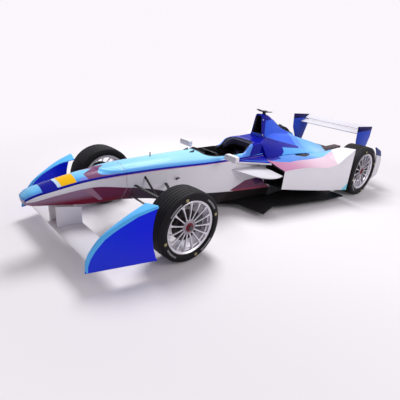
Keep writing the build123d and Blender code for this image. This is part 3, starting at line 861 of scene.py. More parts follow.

# %% [markdown]
# ## Colours of the nose and tub
# The top is sky blue that pales along the middle, and painted shade darkens it toward the chine. A navy
# line follows the chine, the flank is white, and below the flank's fold the nose turns mauve and wine
# red; toward the rear that underside darkens to near black, which is painted shade under the body. Near
# the tip are a navy panel and an amber one, and a mauve wedge meets the front of the hump. They are all
# flat shapes on the map.

# %% body paint
HUMP_OUTLINE = [
    [(44, -446), (71, -442), (104, -411), (25, -427)],
    [(25, -428), (104, -412), (126, -380), (16, -378)],
    [(16, -379), (126, -381), (150, -345), (14, -345)],
    [(260, -346), (14, -346), (11, -262), (260, -262)],
    [(270, -263), (11, -263), (11, 2000), (270, 2000)],
]
top_paint = paint("top_paint", SKY, dust=0.1, blends=[
    (CHART, 0, 0.030, 0.110, rgb(132, 202, 242)),
    (CHART, 1, -0.45, 0.35, rgb(152, 212, 240)),
    # painted shade: the top darkens toward the chine, where it curves away from the light
    (CHART, 0, 0.055, 0.010, rgb(88, 150, 220)),
], raised=[on_chart(None, *corners)[:2] for corners in HUMP_OUTLINE], panels=[
    on_chart(NAVY, (0, -930), (120, -930), (120, -823), (0, -806)),
    on_chart(rgb(196, 222, 244), (0, -806), (120, -823), (120, -796), (0, -776)),
    on_chart(AMBER, (3, -776), (120, -796), (120, -655), (3, -652)),
    on_chart(rgb(128, 140, 226), (3, -630), (34, -604), (30, -556), (3, -548)),
    (*on_chart(MAUVE, (64, -572), (128, -474), (4, -262), (4, -548)), True),
    (*on_chart(MAUVE, (128, -475), (170, -470), (170, -335), (4, -262)), True),
    on_chart(NAVY, (-20, -1200), (9, -1200), (9, 2000), (-20, 2000)),
])
flank_paint = paint("flank_paint", WHITE, panels=[
    on_chart(rgb(206, 150, 196), (-18, -420), (-11, -420), (-11, 2000), (-18, 2000)),
    on_chart(NAVY, (-11, -1200), (20, -1200), (20, 2000), (-11, 2000)),
    on_side(rgb(112, 60, 92), (1085, 250), (1320, 338), (1560, 350), (1740, 190)),
    on_side(rgb(150, 66, 84), (1180, 222), (1085, 250), (1740, 215), (1700, 130)),
    on_side(rgb(60, 24, 74), (1440, 330), (1560, 350), (1640, 270), (1500, 262)),
])
under_paint = paint("under_paint", rgb(150, 118, 142), blends=[
    (SIDE, 2, 0.50, 0.42, WINE),
    # painted shade: toward the rear the underside darkens to near black, as if it lay in shade under
    # the body
    (SIDE, 1, -1.80, -1.45, rgb(70, 58, 74)),
    (SIDE, 1, -1.50, -1.10, rgb(20, 17, 22)),
], panels=[
    on_side(rgb(116, 48, 80), (-560, 560), (-180, 560), (-180, 430), (-420, 405)),
    on_side(rgb(164, 124, 144), (-640, 575), (-552, 572), (-405, 398), (-440, 395)),
])
print("body paint ready")

# %% nose and tub skins
def share_out(piece, materials, pick):
    """Gives each face the material that pick returns for its centre and normal."""
    for material in materials:
        piece.data.materials.append(material)
    for face in piece.data.polygons:
        face.material_index = pick(face.center, face.normal)


def body_zone(centre, normal):
    """0 for the top, 1 for the flank, 2 for what lies below the flank's fold."""
    _, _, chine_z, _, low_z, _, _ = row_at(BODY_SECTIONS, centre.y / MM - FRONT_AXLE_Y)
    if centre.z > (chine_z - 1.5) * MM:
        return 0
    return 1 if centre.z > (low_z + 2) * MM else 2


body_paints = [top_paint, flank_paint, under_paint]
nose = build_body("nose_skin", NOSE_STATIONS, blunt=True)
share_out(nose, body_paints, body_zone)
settle(nose, "chassis", "blue_paint", "nose_cone")

# %% [markdown]
# ## The open cockpit
# The opening is cut from the tub with a boolean, as a router would cut it from a moulding. The cutter
# is a prism with rounded corners that narrows downward, painted with the inside's carbon, so the walls
# of the cut keep that finish.

# %% cockpit cut
def prism(name, levels, material, steps=5):
    """Closed shape through plan outlines: each level is (z, [(x, station, radius), ...])."""
    rows = [[at(p.x, p.y, z) for p in rounded(corners, steps)] for z, corners in levels]
    return painted(skinned(name, [rows]), material)


COCKPIT_RIM = [
    (-112, 722, 60), (112, 722, 60), (172, 818, 90), (203, 1330, 160), (203, 1640, 10),
    (-203, 1640, 10), (-203, 1330, 160), (-172, 818, 90),
]
COCKPIT_WELL = [
    (-100, 790, 40), (100, 790, 40), (128, 860, 60), (180, 1330, 80), (180, 1640, 10),
    (-180, 1640, 10), (-180, 1330, 80), (-128, 860, 60),
]
COCKPIT_LEVELS = [(800, COCKPIT_RIM), (640, COCKPIT_RIM), (420, COCKPIT_WELL), (158, COCKPIT_WELL)]
tub = build_body("tub_skin", TUB_STATIONS)
share_out(tub, body_paints, body_zone)
cut(tub, prism("cockpit_cutter", COCKPIT_LEVELS, inside_carbon))
settle(tub, "chassis", "white_paint", "monocoque")

# %% [markdown]
# ## Cockpit surround
# Behind the driver's shoulders the body rises into a padded collar. It is a loft with soft shoulders,
# open to the front, and its front edges are pale while the part behind them is navy. The opening is
# cut with the same kind of prism as the cockpit.

# %% surround
# station, base half width, base z, top half width, top z
SURROUND_SECTIONS = [
    (1205, 243, 604, 240, 609),
    (1235, 244, 604, 238, 624),
    (1330, 246, 602, 224, 664),
    (1425, 247, 600, 213, 735),
    (1500, 248, 598, 210, 744),
    (1612, 248, 598, 206, 746),
]
surround_paint = paint("surround_paint", NAVY, panels=[
    on_side(rgb(84, 138, 226), (1180, 560), (1330, 560), (1560, 900), (1180, 900)),
])


COLLAR = [
    (-192, 1100, 5), (192, 1100, 5), (196, 1420, 60), (130, 1545, 90), (-130, 1545, 90),
    (-196, 1420, 60),
]


def surround_row(s):
    base, z, top, top_z = row_at(SURROUND_SECTIONS, s)
    return s, four(base, z, top, top_z, 1, min(26, 0.45 * (top_z - z) + 1))


surround = painted(loft("surround_skin", [surround_row(s) for s in (
    steps_between(1205, 1330, 8) + steps_between(1345, 1425, 8) + steps_between(1440, 1612, 9)
)]), surround_paint)
cut(surround, prism("collar_cutter", [(900, COLLAR), (560, COLLAR)], inside_carbon, 8))
settle(surround, "chassis", "blue_paint", "cockpit_surround")

# %% [markdown]
# ## Engine cover and airbox
# Two lofts meet: the low cover, which is broad and slopes to the tail, and the airbox, a tall fin that
# starts at the roll hoop. A boolean joins them into one shell and a second one cuts the intake. The
# flank colours are panels seen from the side.

# %% cover sections
# station, base half width, base z, shoulder half width, shoulder z, crown half width, crown z
COVER_SECTIONS = [
    (1612, 320, 575, 236, 700, 196, 744),
    (1700, 326, 577, 240, 700, 158, 760),
    (1900, 326, 582, 240, 676, 92, 790),
    (2380, 326, 554, 200, 612, 60, 740),
    (2715, 326, 512, 160, 556, 44, 656),
    (3330, 120, 424, 70, 450, 25, 486),
]
# station, base half width, base z, crown half width, crown z
AIRBOX_SECTIONS = [
    (1745, 100, 740, 46, 1046),
    (1850, 96, 740, 44, 1036),
    (2010, 82, 720, 30, 962),
    (2200, 60, 700, 20, 848),
    (2560, 30, 670, 10, 722),
]
AIRBOX_START, AIRBOX_END = 1745, 2540
cover_paint = paint("cover_paint", rgb(84, 160, 232), blends=[
    (SIDE, 1, 0.95, 1.45, rgb(116, 186, 240)),
], panels=[
    on_side(AZURE, (1560, 1100), (1560, 752), (2400, 608), (2900, 1100)),
    on_side(rgb(84, 146, 240), (2380, 800), (2380, 600), (2560, 560), (2560, 800)),
    on_side(NAVY, (1560, 744), (1776, 778), (1850, 568), (1560, 540)),
    on_side(NAVY, (1776, 778), (1990, 657), (1970, 614), (1845, 566)),
    on_side(NAVY, (1770, 778), (2420, 614), (2390, 596), (1770, 690)),
    on_side(NAVY, (1744, 740), (1782, 740), (1832, 1060), (1744, 1060)),
    on_side(NAVY, (1700, 968), (2100, 968), (2100, 1100), (1700, 1100)),
])


def cover_row(s):
    base, bz, h, hz, c, cz = row_at(COVER_SECTIONS, s)
    foot, foot_z, top, top_z = row_at(AIRBOX_SECTIONS, s)
    if not AIRBOX_START <= s <= AIRBOX_END or top_z < cz + 2:
        top, top_z = 0.35 * c, cz + 2
    share = (cz - foot_z) / max(1.0, top_z - foot_z)
    valley = min(c, foot + (top - foot) * share) if s >= AIRBOX_START else c * 0.8
    left = [(base, bz, 3), (h, hz, 70), (c, cz, 45), (valley, cz + 3, 40), (top, top_z, 0.8 * top)]
    return s, left + [(-x, z, r) for x, z, r in left[::-1]]


cover = painted(loft("engine_cover_skin", [cover_row(s) for s in (
    steps_between(1612, 1744, 6) + steps_between(1745, 2500, 34) + steps_between(2525, 3330, 22)
)]), cover_paint)
intake = painted(loft("intake_cutter", [
    (1730, four(79, 806, 36, 1030, 16, 20)),
    (1800, four(68, 812, 32, 1008, 16, 18)),
    (1985, four(46, 820, 22, 942, 14, 12)),
]), inside_carbon)
cut(cover, intake)
settle(cover, "chassis", "deep_blue_paint", "engine_cover")

# %% spine strip along the cover
spine_black = paint("spine_black", (0.01, 0.01, 0.012, 1), gloss=0.35)


def spine_row(s):
    top = row_at(AIRBOX_SECTIONS, s)[3]
    rise = 12 * min(1, (s - 1985) / 60, (2550 - s) / 60) + 1
    return s, four(5, top - 8, 3, top + rise, 1, 2)


spine = loft("spine_strip", [spine_row(s) for s in steps_between(1990, 2545, 24)], 3)
settle(painted(spine, spine_black), "chassis", "carbon")

# %% [markdown]
# ## Sidepods
# A pod is a box that grows toward the rear wheel: its shoulder is one sharp crease that starts at the
# inlet and flares up at the back, and the top dips between that crease and the engine cover. The top
# and the flank take different paints, because their panels are seen from different sides.

# %% pod sections
# station, inner x, bottom outer x, bottom z, shoulder x, shoulder z, crest x, crest z, inner top z
POD_SECTIONS = [
    (1600, 330, 598, 277, 604, 503, 470, 530, 572),
    (1900, 330, 672, 235, 668, 517, 520, 560, 582),
    (2300, 330, 775, 188, 765, 493, 560, 548, 558),
    (2440, 330, 800, 172, 792, 512, 580, 550, 545),
    (2600, 330, 834, 155, 833, 622, 625, 618, 528),
    (2715, 330, 856, 142, 856, 698, 660, 682, 515),
]
SHOULDER_SECTIONS = [
    (1080, 252, 590, 250, 580),
    (1320, 302, 567, 296, 546),
    (1600, 407, 543, 407, 521),
]
BAND_FADE = (rgb(176, 116, 152), PLAN, 1, 0.15, 1.0, rgb(212, 188, 202))
# the pod top's blue, darkened over its front with painted shade; it pales toward the rear
pod_top_paint = paint("pod_top_paint", rgb(66, 126, 206), blends=[
    (PLAN, 1, 0.75, 1.15, rgb(116, 186, 240)),
], panels=[
    on_plan(NAVY, (200, 1060), (372, 1645), (392, 1800), (200, 1860)),
    on_plan(NAVY, (200, 1060), (600, 1060), (600, 1655), (386, 1648)),
    on_plan(BAND_FADE, (340, 1590), (900, 1590), (900, 1724), (443, 1724)),
    on_plan(BAND_FADE, (443, 1723), (900, 1723), (900, 1822), (504, 1822)),
    on_plan(BAND_FADE, (504, 1821), (900, 1821), (900, 2085), (526, 2085)),
    on_plan(BAND_FADE, (526, 2084), (900, 2084), (900, 2800), (582, 2800)),
    on_plan(WHITE, (566, 2640), (735, 2493), (850, 2425), (1000, 2900)),
    on_plan(WHITE, (500, 2800), (566, 2640), (735, 2493), (900, 2800)),
])
pod_flank_paint = paint("pod_flank_paint", WHITE, panels=[
    on_side(AQUA, (2560, 120), (2725, 250), (2760, 250), (2760, 120)),
])


def pod_row(s):
    i, o, bz, h, hz, c, cz, iz = row_at(POD_SECTIONS, s)
    return s, [(i, bz, 2), (o, bz, 8), (h, hz, 5), (c, cz, 60), (i, iz, 4)]


LOUVRE = [
    (336, 2150, 8), (372, 2128, 30), (449, 2230, 40), (412, 2400, 60), (352, 2470, 20),
    (336, 2440, 8),
]
# painted shade: the louvre recess's walls and floor are dark navy, standing in for the shade inside the
# vent
louvre_blue = paint("louvre_blue", rgb(14, 30, 96), dust=0.0)


def pod_zone(centre, normal):
    """0 for the top, 1 for the flank, 2 for the face round the inlet."""
    if normal.y < -0.9:
        return 2
    if abs(normal.x) > 0.72 and normal.z < 0.62:
        return 1
    return 0 if normal.z > 0.1 else 1


def strake_row(s):
    o, oz, u, uz = row_at(SHOULDER_SECTIONS, s)
    return s, [(240, 606, 1), (o, oz, 6), (u, uz, 6), (240, uz - 8, 1)]


def joined_pair(name, parts, angle=32):
    """One mesh of several pieces and their mirror images, with their materials."""
    bm = bmesh.new()
    chosen = []
    for part in parts:
        start = len(bm.faces)
        bm.from_mesh(part.data)
        bm.faces.ensure_lookup_table()
        for face in bm.faces[start:]:
            material = part.data.materials[face.material_index]
            if material not in chosen:
                chosen.append(material)
            face.material_index = chosen.index(material)
        bpy.data.objects.remove(part)
    mirror_copy(bm)
    mesh = bpy.data.meshes.new(name)
    bm.to_mesh(mesh)
    bm.free()
    for material in chosen:
        mesh.materials.append(material)
    shade(mesh, angle)
    return placed(name, mesh)


def build_pods():
    stations = steps_between(1600, 2300, 20) + steps_between(2320, 2715, 24)
    pod = loft("sidepod_skin", [pod_row(s) for s in stations])
    share_out(pod, pod_paints, pod_zone)
    cut(pod, prism("louvre_cutter", [(640, LOUVRE), (541, LOUVRE)], louvre_blue, 6))
    cut(pod, painted(loft("inlet_cutter", [
        (1590, [(346, 290, 12), (590, 290, 14), (596, 490, 10), (346, 540, 10)]),
        (1640, [(350, 300, 12), (584, 300, 14), (588, 480, 12), (350, 524, 10)]),
        (2050, [(352, 330, 10), (520, 330, 12), (520, 440, 12), (352, 480, 10)]),
    ]), inside_carbon))
    strake = loft("strake", [strake_row(s) for s in steps_between(1080, 1600, 22)])
    share_out(strake, [pod_top_paint, white_paint], lambda _, normal: 0 if normal.z > 0.6 else 1)
    tail = loft("pod_tail", [
        (2700, [(164, 142, 2), (500, 142, 20), (500, 520, 60), (164, 418, 2)]),
        (2900, [(164, 142, 2), (410, 142, 20), (404, 496, 60), (164, 418, 2)]),
        (3330, [(164, 142, 2), (190, 142, 8), (190, 418, 8), (164, 418, 2)]),
    ])
    share_out(tail, pod_paints, pod_zone)
    return joined_pair("sidepod_skins", [pod, strake, tail])


pod_paints = [pod_top_paint, pod_flank_paint, inside_carbon]
settle(build_pods(), "chassis", "white_paint", "sidepods")

# %% [markdown]
# ## Front endplates
# Each plate is one thin moulding: it stands on the wing's tip, toes out, leans in, and its top edge
# rolls inward into a shelf that widens to the rear. A grid of points follows the plate up and then
# the roll, and Solidify gives it a wall.

# %% endplate grid
PLATE_HEIGHT, PLATE_LENGTH = 458, 580
PLATE_FRONT = at(705, -888, 135)
PLATE_REAR = at(855, -338, 135)
PLATE_TOP = at(806, -311, 596)
PLATE_ALONG = (PLATE_REAR - PLATE_FRONT).normalized()
PLATE_OUT = PLATE_ALONG.cross(PLATE_TOP - PLATE_FRONT).normalized()
PLATE_UP = PLATE_OUT.cross(PLATE_ALONG)
LIP_IN = Vector((-0.98, -0.15, -0.14)).normalized()
LIP_SAG = Vector((0, 0, -0.004))
# along the plate, its height there, width of the lip there
LIP_ROWS = [
    (4, 20, 4), (8, 80, 5), (70, 195, 14), (142, 270, 23), (268, 344, 46),
    (403, 408, 75), (500, 438, 112), (580, 458, 148),
]


def on_plate(along, up):
    return PLATE_FRONT + PLATE_ALONG * along * MM + PLATE_UP * up * MM


def plate_rear(up):
    """The rear edge's place along the plate, a shallow bow between three points."""
    t = up / PLATE_HEIGHT
    return 562 * (1 - t) * (1 - 2 * t) + 4 * t * (1 - t) * 527 + PLATE_LENGTH * t * (2 * t - 1)


def plate_column(along):
    """Points up the plate at one place along it, then round the roll and out to the lip's edge."""
    up, width = row_at(LIP_ROWS, along)
    heights = [up * share for share in steps_between(0, 1, 14)]
    column = [on_plate(along * plate_rear(z) / plate_rear(up), z) for z in heights]
    corner = column[-1]
    bend = min(16.0, width * 0.6, up * 0.2) * MM
    below = corner - PLATE_UP * bend
    column = [p for p in column if (p - corner).length > bend * 1.05]
    while len(column) < 14:
        column.append(column[-1].lerp(below, 0.5))
    for t in steps_between(0, 1, 6):
        column.append(
            below * (1 - t) ** 2 + corner * 2 * t * (1 - t) + (corner + LIP_IN * bend) * t**2,
        )
    for share in (0.35, 0.7, 0.92, 1.0):
        reach = bend + (width * MM - bend) * share
        column.append(corner + LIP_IN * reach + LIP_SAG * share**3)
    return column


def build_endplates():
    bm = bmesh.new()
    columns = [
        plate_column(a) for a in steps_between(4, 70, 8)[:-1] + steps_between(70, PLATE_LENGTH, 26)
    ]
    count = min(len(c) for c in columns)
    grid = [[bm.verts.new(p) for p in c[-count:]] for c in columns]
    for one, two in zip(grid, grid[1:]):
        for i in range(count - 1):
            bm.faces.new((one[i], two[i], two[i + 1], one[i + 1]))
    plates = finish_mesh(bm, "endplates_front", 60)
    if sum(f.normal.dot(PLATE_OUT) * f.area for f in plates.data.polygons) < 0:
        plates.data.flip_normals()
    modify(plates, "SOLIDIFY", thickness=0.008, offset=-1)
    modify(plates, "BEVEL", width=0.002, segments=2, angle_limit=radians(50))
    baked(plates)
    bm = bmesh.new()
    bm.from_mesh(plates.data)
    mirror_copy(bm)
    bm.to_mesh(plates.data)
    bm.free()
    shade(plates.data, 45)
    return plates


def edge_band():
    """Outlines of a sky band that runs down the plate's curved edge, in metres seen from the side."""
    def seen(x, z):
        return tuple(on_plate(x, z).yz)

    rims = [(along, row_at(LIP_ROWS, along)[0]) for along in (4, 8, 30, 70, 142, 205, 268, 403, 590)]
    bands = []
    for (x0, z0), (x1, z1) in zip(rims, rims[1:]):
        deep0, deep1 = (30 - 16 * x / 590 for x in (x0, x1))
        bands.append([
            seen(x0 - 2, z0 + 6), seen(x1 - 2, z1 + 6),
            seen(x1 + deep1 * 0.7, z1 - deep1), seen(x0 + deep0 * 0.7, z0 - deep0),
        ])
    return bands


LIP_SKY = rgb(94, 188, 255)
plate_blue = paint("plate_blue", rgb(22, 52, 232), blends=[
    (SIDE, 1, -2.30, -1.80, rgb(18, 36, 238)),
], panels=[(band, SIDE, LIP_SKY) for band in edge_band()])
lip_blue = paint("lip_blue", LIP_SKY)
endplates = build_endplates()
share_out(endplates, [plate_blue, lip_blue], lambda _, normal: 1 if normal.z > 0.45 else 0)
settle(endplates, "chassis", "deep_blue_paint", "front_wing_endplates")

# %% [markdown]
# ## Wings, pylons and small panels
# These parts are plates and bars with plain outlines, so their solids are right already and only lack
# rounded edges. A helper copies each solid, joins its flat faces and rounds the edges by a few
# millimetres, which is what catches the light on a real moulding.

# %% plates with rounded edges
plate_far_blue = paint("wing_plate_blue", rgb(40, 74, 196), blends=[
    (SIDE, 2, 0.60, 0.45, rgb(34, 66, 176)),
], panels=[
    on_side(rgb(10, 8, 84), (3300, 900), (3800, 900), (3800, 800), (3300, 800)),
])
guard_paint = paint("guard_paint", rgb(214, 212, 220), panels=[
    on_side(rgb(50, 64, 120), (3300, 700), (3300, 560), (3700, 470), (3700, 700)),
])
mirror_paint = paint("mirror_paint", rgb(228, 226, 232), dust=0.0)
winglet_paint = paint("winglet_paint", rgb(204, 202, 210))
tail_wine = paint("tail_wine", rgb(58, 16, 26), gloss=0.35, panels=[
    on_side((0.01, 0.01, 0.012, 1), (3300, 450), (3500, 450), (3500, 150), (3300, 150)),
])
GUARD_TOP, GUARD_HEIGHT = 0.46, 0.27
GUARD_FRONT, GUARD_LENGTH, GUARD_TAPER = 2.04, 0.22, 0.055
# solid, name of its copy, width of the rounded edges, paint, finish
SOFTENED = [
    ("front_wing", "front_wing_plane", 0.002, white_paint, "white_paint"),
    ("nose_pylons", "nose_pylon_pair", 0.005, white_paint, "white_paint"),
    ("sidepod_winglets", "winglet_pair", 0.005, winglet_paint, "white_paint"),
    ("rear_wing_planes", "rear_wing_foils", 0.002, winglet_paint, "white_paint"),
    ("rear_wing_endplates", "rear_endplate_pair", 0.003, plate_far_blue, "deep_blue_paint"),
    ("rear_beam", "rear_beam_bar", 0.003, floor_carbon, "carbon"),
    ("rear_wheel_guards", "guard_pair", 0.005, guard_paint, "white_paint"),
    ("mirrors", "mirror_pair", 0.006, mirror_paint, "white_paint"),
    ("rear_crash_structure", "tail_structure", 0.008, tail_wine, "carbon"),
]
def narrowed(piece):
    """Draws the guards' rear edges forward toward the ground."""
    for v in piece.data.vertices:
        down = max(0.0, GUARD_TOP - v.co.z) / GUARD_HEIGHT
        v.co.y -= GUARD_TAPER * down * max(0.0, v.co.y - GUARD_FRONT) / GUARD_LENGTH


for node, name, width, material, slot in SOFTENED:
    piece = painted(softened(node, name, width), material)
    if name == "guard_pair":
        narrowed(piece)
    settle(piece, "chassis", slot, node)

# %% mirror glass
def speckled(name, dark, light, scale, rough, spread, detail=2, relief=None, **more):
    """A plain material whose tone and roughness follow one fine noise."""
    material, tree, shader = new_material(name)
    grain = noise(tree, object_point(tree), scale, detail)
    feed(tree, shader, {
        "Base Color": mix_colour(tree, grain, dark, light),
        "Roughness": calc(tree, "MULTIPLY_ADD", grain, spread, rough),
        **{key.replace("_", " "): value for key, value in more.items()},
    })
    if relief:
        feed(tree, shader, {"Normal": bumped(tree, grain, *relief)})
    return material


glass = speckled(
    "mirror_glass", (0.55, 0.57, 0.60, 1), (0.62, 0.64, 0.66, 1), 30, 0.02, 0.05, Metallic=1.0,
)
panes = skinned("mirror_glass_pair", [
    [across_at(s, four(72 + grow, 666 - grow, 72 + grow, 710 + grow, 12, x=side * 378))
     for s, grow in ((946.2, 0), (948.2, 0), (949.4, -3))]
    for side in (1, -1)
])
settle(painted(panes, glass), "chassis", "white_paint")

# %% [markdown]
# ## Finishes on the solids that stay
# Links, rack, knuckles, shafts, floor and the closed blocks keep their own meshes, whose shape is
# right. Only their materials change, in the slots they already have.

# %% materials on solids
KEPT = {
    "floor": floor_carbon, "battery_block": casing_metal, "motor_and_gearbox": casing_metal,
    "front_suspension_links": link_carbon, "rear_suspension_links": link_carbon,
    "steering_rack": bare_metal, "steering_column": bare_metal, "pitot_tube": link_carbon,
}
for side in ("left", "right"):
    KEPT[f"drive_shaft_rear_{side}"] = steel
    for end in ("front", "rear"):
        KEPT[f"knuckle_{end}_{side}"] = casing_metal
for node, material in KEPT.items():
    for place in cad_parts[node].material_slots:
        place.material = material
print(len(KEPT), "solids keep their meshes")

# %% [markdown]
# ## Wheels
# A racing wheel is forged and turned: a barrel with two flanges, fifteen thin spokes, a hub and one
# centre nut. Everything round is a profile turned about the axle. The spokes follow one rule, so a
# geometry node tree copies a single spoke round the hub, and the count and centre are its inputs.

# %% turned parts
# station, radius of the tyre, half its width, x of its outer face, half the width between the beads
AXLES = {
    "front": {"station": 0, "radius": 325, "half": 122.5, "outer": 857, "bead": 100.5},
    "rear": {"station": 3100, "radius": 340, "half": 152.5, "outer": 873, "bead": 130.5},
}


SIDES = (("left", 1), ("right", -1))
WHEELS = [(end, side, sign, axle) for end, axle in AXLES.items() for side, sign in SIDES]


def axle_point(axle, side, x, radius, angle):
    """Point at x from the wheel's middle, outward being positive, at a radius and angle."""
    middle = axle["outer"] - axle["half"]
    return Vector((
        side * (middle + x) * MM,
        (axle["station"] + FRONT_AXLE_Y + radius * cos(angle)) * MM,
        (axle["radius"] + radius * sin(angle)) * MM,
    ))


def turned_piece(name, axle, side, profiles, count, angle=32):
    """Turns closed (x, radius) profiles about the axle."""
    bm = bmesh.new()
    for profile in profiles:
        rings = []
        for k in range(count):
            rings.append(
                [bm.verts.new(axle_point(axle, side, x, r, tau * k / count)) for x, r in profile],
            )
        for one, two in zip(rings, rings[1:] + rings[:1]):
            bridge(bm, one, two)
    return finish_mesh(bm, name, angle)


print(len(WHEELS), "wheels")


# %% tyres with real grooves
def tyre_profile(axle):
    """Half the section from the crown to the bead, outside first, then back along the inside."""
    r, half, bead = axle["radius"], axle["half"], axle["bead"]

    def crown(x):
        return r - 4.5 * (x / (half - 18)) ** 2

    outside = [(0, r)]
    for groove in (18, 52, half - 42):
        for x, sink in ((groove - 4, 0), (groove - 3, 4.5), (groove + 3, 4.5), (groove + 4, 0)):
            outside.append((x, crown(x) - sink))
    outside += [
        (half - 22, crown(half - 22)), (half - 14, r - 8), (half - 7, r - 16), (half - 2.5, r - 28),
        (half - 1, r - 36), (half - 0.2, r - 38), (half - 0.2, r - 58), (half - 1, r - 60),
        (half - 3, r - 70), (half - 9, 258), (bead + 7, 250), (bead + 1.5, 247.2), (bead, 240),
        (bead, 231),
    ]
    inside = [
        (bead - 14, 231), (bead - 14, 252), (half - 18, r - 54), (half - 32, r - 27),
        (half - 60, r - 22), (0, r - 20),
    ]
    right = outside + inside
    left = [(-x, z) for x, z in right[1:-1]][::-1]
    return right + left


for end, side, sign, axle in WHEELS:
    tyre = turned_piece(f"tyre_{end}_{side}_rubber", axle, sign, [tyre_profile(axle)], 112, 40)
    settle(painted(tyre, tyre_rubber[end]), f"{end}_wheel_{side}", "tyre", f"tyre_{end}_{side}")

# %% tree that sets spokes round a hub
def new_tree(name, inputs):
    """A geometry tree with a Material input last; returns its inner inputs by name."""
    tree = bpy.data.node_groups.new(name, "GeometryNodeTree")
    tree.is_modifier = True
    tree.interface.new_socket("Geometry", in_out="INPUT", socket_type="NodeSocketGeometry")
    for label, kind, value in (*inputs, ("Material", "NodeSocketMaterial", None)):
        socket = tree.interface.new_socket(label, in_out="INPUT", socket_type=kind)
        if value is not None:
            socket.default_value = value
    tree.interface.new_socket("Geometry", in_out="OUTPUT", socket_type="NodeSocketGeometry")
    return tree, tree.nodes.new("NodeGroupInput").outputs


def finish_tree(tree, into, copies):
    """Every tree ends in real geometry with its material set."""
    real = add(tree, "GeometryNodeRealizeInstances", {"Geometry": copies})
    inputs = {"Geometry": real.outputs["Geometry"], "Material": into["Material"]}
    coat = add(tree, "GeometryNodeSetMaterial", inputs)
    add(tree, "NodeGroupOutput", {"Geometry": coat.outputs["Geometry"]})
    return tree


def build_spoke_tree():
    tree, into = new_tree("spokes_round_hub", [
        ("Count", "NodeSocketInt", 15), ("Centre", "NodeSocketVector", (0, 0, 0)),
    ])
    points = add(tree, "GeometryNodePoints", {"Count": into["Count"]})
    index = add(tree, "GeometryNodeInputIndex")
    share = calc(tree, "DIVIDE", index.outputs[0], into["Count"])
    turn = add(tree, "ShaderNodeCombineXYZ", {"X": calc(tree, "MULTIPLY", share, tau)})
    copies = add(tree, "GeometryNodeInstanceOnPoints", {
        "Points": points.outputs[0], "Instance": into["Geometry"], "Rotation": turn.outputs[0],
    })
    inputs = {"Geometry": copies.outputs["Instances"], "Translation": into["Centre"]}
    return finish_tree(tree, into, add(tree, "GeometryNodeTransform", inputs).outputs["Geometry"])


def grown(piece, tree, values):
    """Runs a tree on a piece with its named inputs and keeps the result as a plain mesh."""
    run = piece.modifiers.new(tree.name, "NODES")
    run.node_group = tree
    sockets = {s.name: s.identifier for s in tree.interface.items_tree if s.in_out == "INPUT"}
    for label, value in values.items():
        run[sockets[label]] = value
    piece.update_tag()
    bpy.context.view_layer.update()
    return baked(piece)


spoke_tree = build_spoke_tree()
print("tree:", spoke_tree.name)

# %% one spoke, then fifteen
HUB_RECESS = 33  # how far the hub's face lies inside the wheel's outer face
HUB_REACH = 0.07  # what lies nearer to the axle is the hub, in metres
SPOKE_FOOT, SPOKE_TIP = 40, 223  # radii of a spoke's two ends


def spoke_mesh(side, face, back):
    """A spoke along +Z from hub to barrel, waisted in the middle and dished toward the hub."""
    rows = []
    for r in steps_between(SPOKE_FOOT, SPOKE_TIP, 16):
        t = (r - SPOKE_FOOT) / (SPOKE_TIP - SPOKE_FOOT)
        ends = 5 * max(0, t - 0.88) + 3 * max(0, 0.12 - t)
        wide = 5.0 + 3.4 * (2 * t - 1) ** 2 + ends / 0.12
        front = face - 22 * (1 - t) ** 2
        deep = back - 4 * t - 13 * (1 - t) ** 2
        loop = rounded(four(wide, front, wide * 0.8, deep, 2.5, 2), 2)
        rows.append([Vector((side * p.y * MM, p.x * MM, r * MM)) for p in loop])
    return skinned("spoke", [rows])


def rim_profiles(axle):
    bead, half = axle["bead"], axle["half"]
    barrel = [
        (-bead - 8, 222), (-bead - 8, 245), (-bead - 6, 247), (-bead - 2, 247), (-bead, 244),
        (-bead, 230),
        (-bead + 16, 228), (-bead + 34, 219), (bead - 44, 217), (bead - 20, 228), (bead, 230),
        (bead, 244), (bead + 2, 247), (bead + 6, 247), (bead + 8, 244), (bead + 8, 238),
        (bead + 4, 232),
        (bead - 1, 225), (bead - 16, 222), (bead - 26, 213), (-bead + 30, 213), (-bead + 12, 221),
    ]
    inner, outer = half - 57, half - HUB_RECESS
    hub = [
        (inner, 20.5), (inner, 50), (inner + 3, 56), (outer - 14, 67), (outer - 3, 69), (outer, 65),
        (outer - 1, 58), (outer - 6, 55), (outer - 6, 50), (outer - 1, 47), (outer, 44),
        (outer, 20.5),
    ]
    return [barrel, hub]


def nut_profile(axle):
    outer = axle["half"] - HUB_RECESS
    return [
        (outer - 1, 22), (outer - 1, 42), (outer + 2, 42), (outer + 4, 36),
        (outer + 12, 33), (outer + 14, 30), (outer + 14, 24), (outer + 12, 22),
    ]


for end, side, sign, axle in WHEELS:
    name, body = f"rim_{end}_{side}", f"{end}_wheel_{side}"
    middle = axle_point(axle, sign, 0, 0, 0)
    wheel = turned_piece(f"{name}_wheel", axle, sign, rim_profiles(axle), 96, 30)
    share_out(
        wheel, [rim_metal[end], hub_grey],
        lambda centre, _: 1 if (centre - middle).yz.length < HUB_REACH else 0,
    )
    spokes = spoke_mesh(sign, axle["half"] - 22, axle["half"] - 40)
    grown(spokes, spoke_tree, {"Count": 15, "Centre": middle, "Material": rim_metal[end]})
    spokes.data.name = spokes.name = f"{name}_spokes"
    nut = painted(turned_piece(f"{name}_nut", axle, sign, [nut_profile(axle)], 12, 20), nut_red)
    settle(wheel, body, "rim", name)
    settle(spokes, body, "rim")
    settle(nut, body, "rim")

# %% [markdown]
# ## Fasteners, lights and buttons
# The holes of a brake disc, quarter-turn fasteners, lamp cells and switches are all small round pieces
# that stand on a surface. One tree sets them: its input is a handful of points that carry the way they
# face, and its named sizes give a hole, a bolt, a lens or a button.

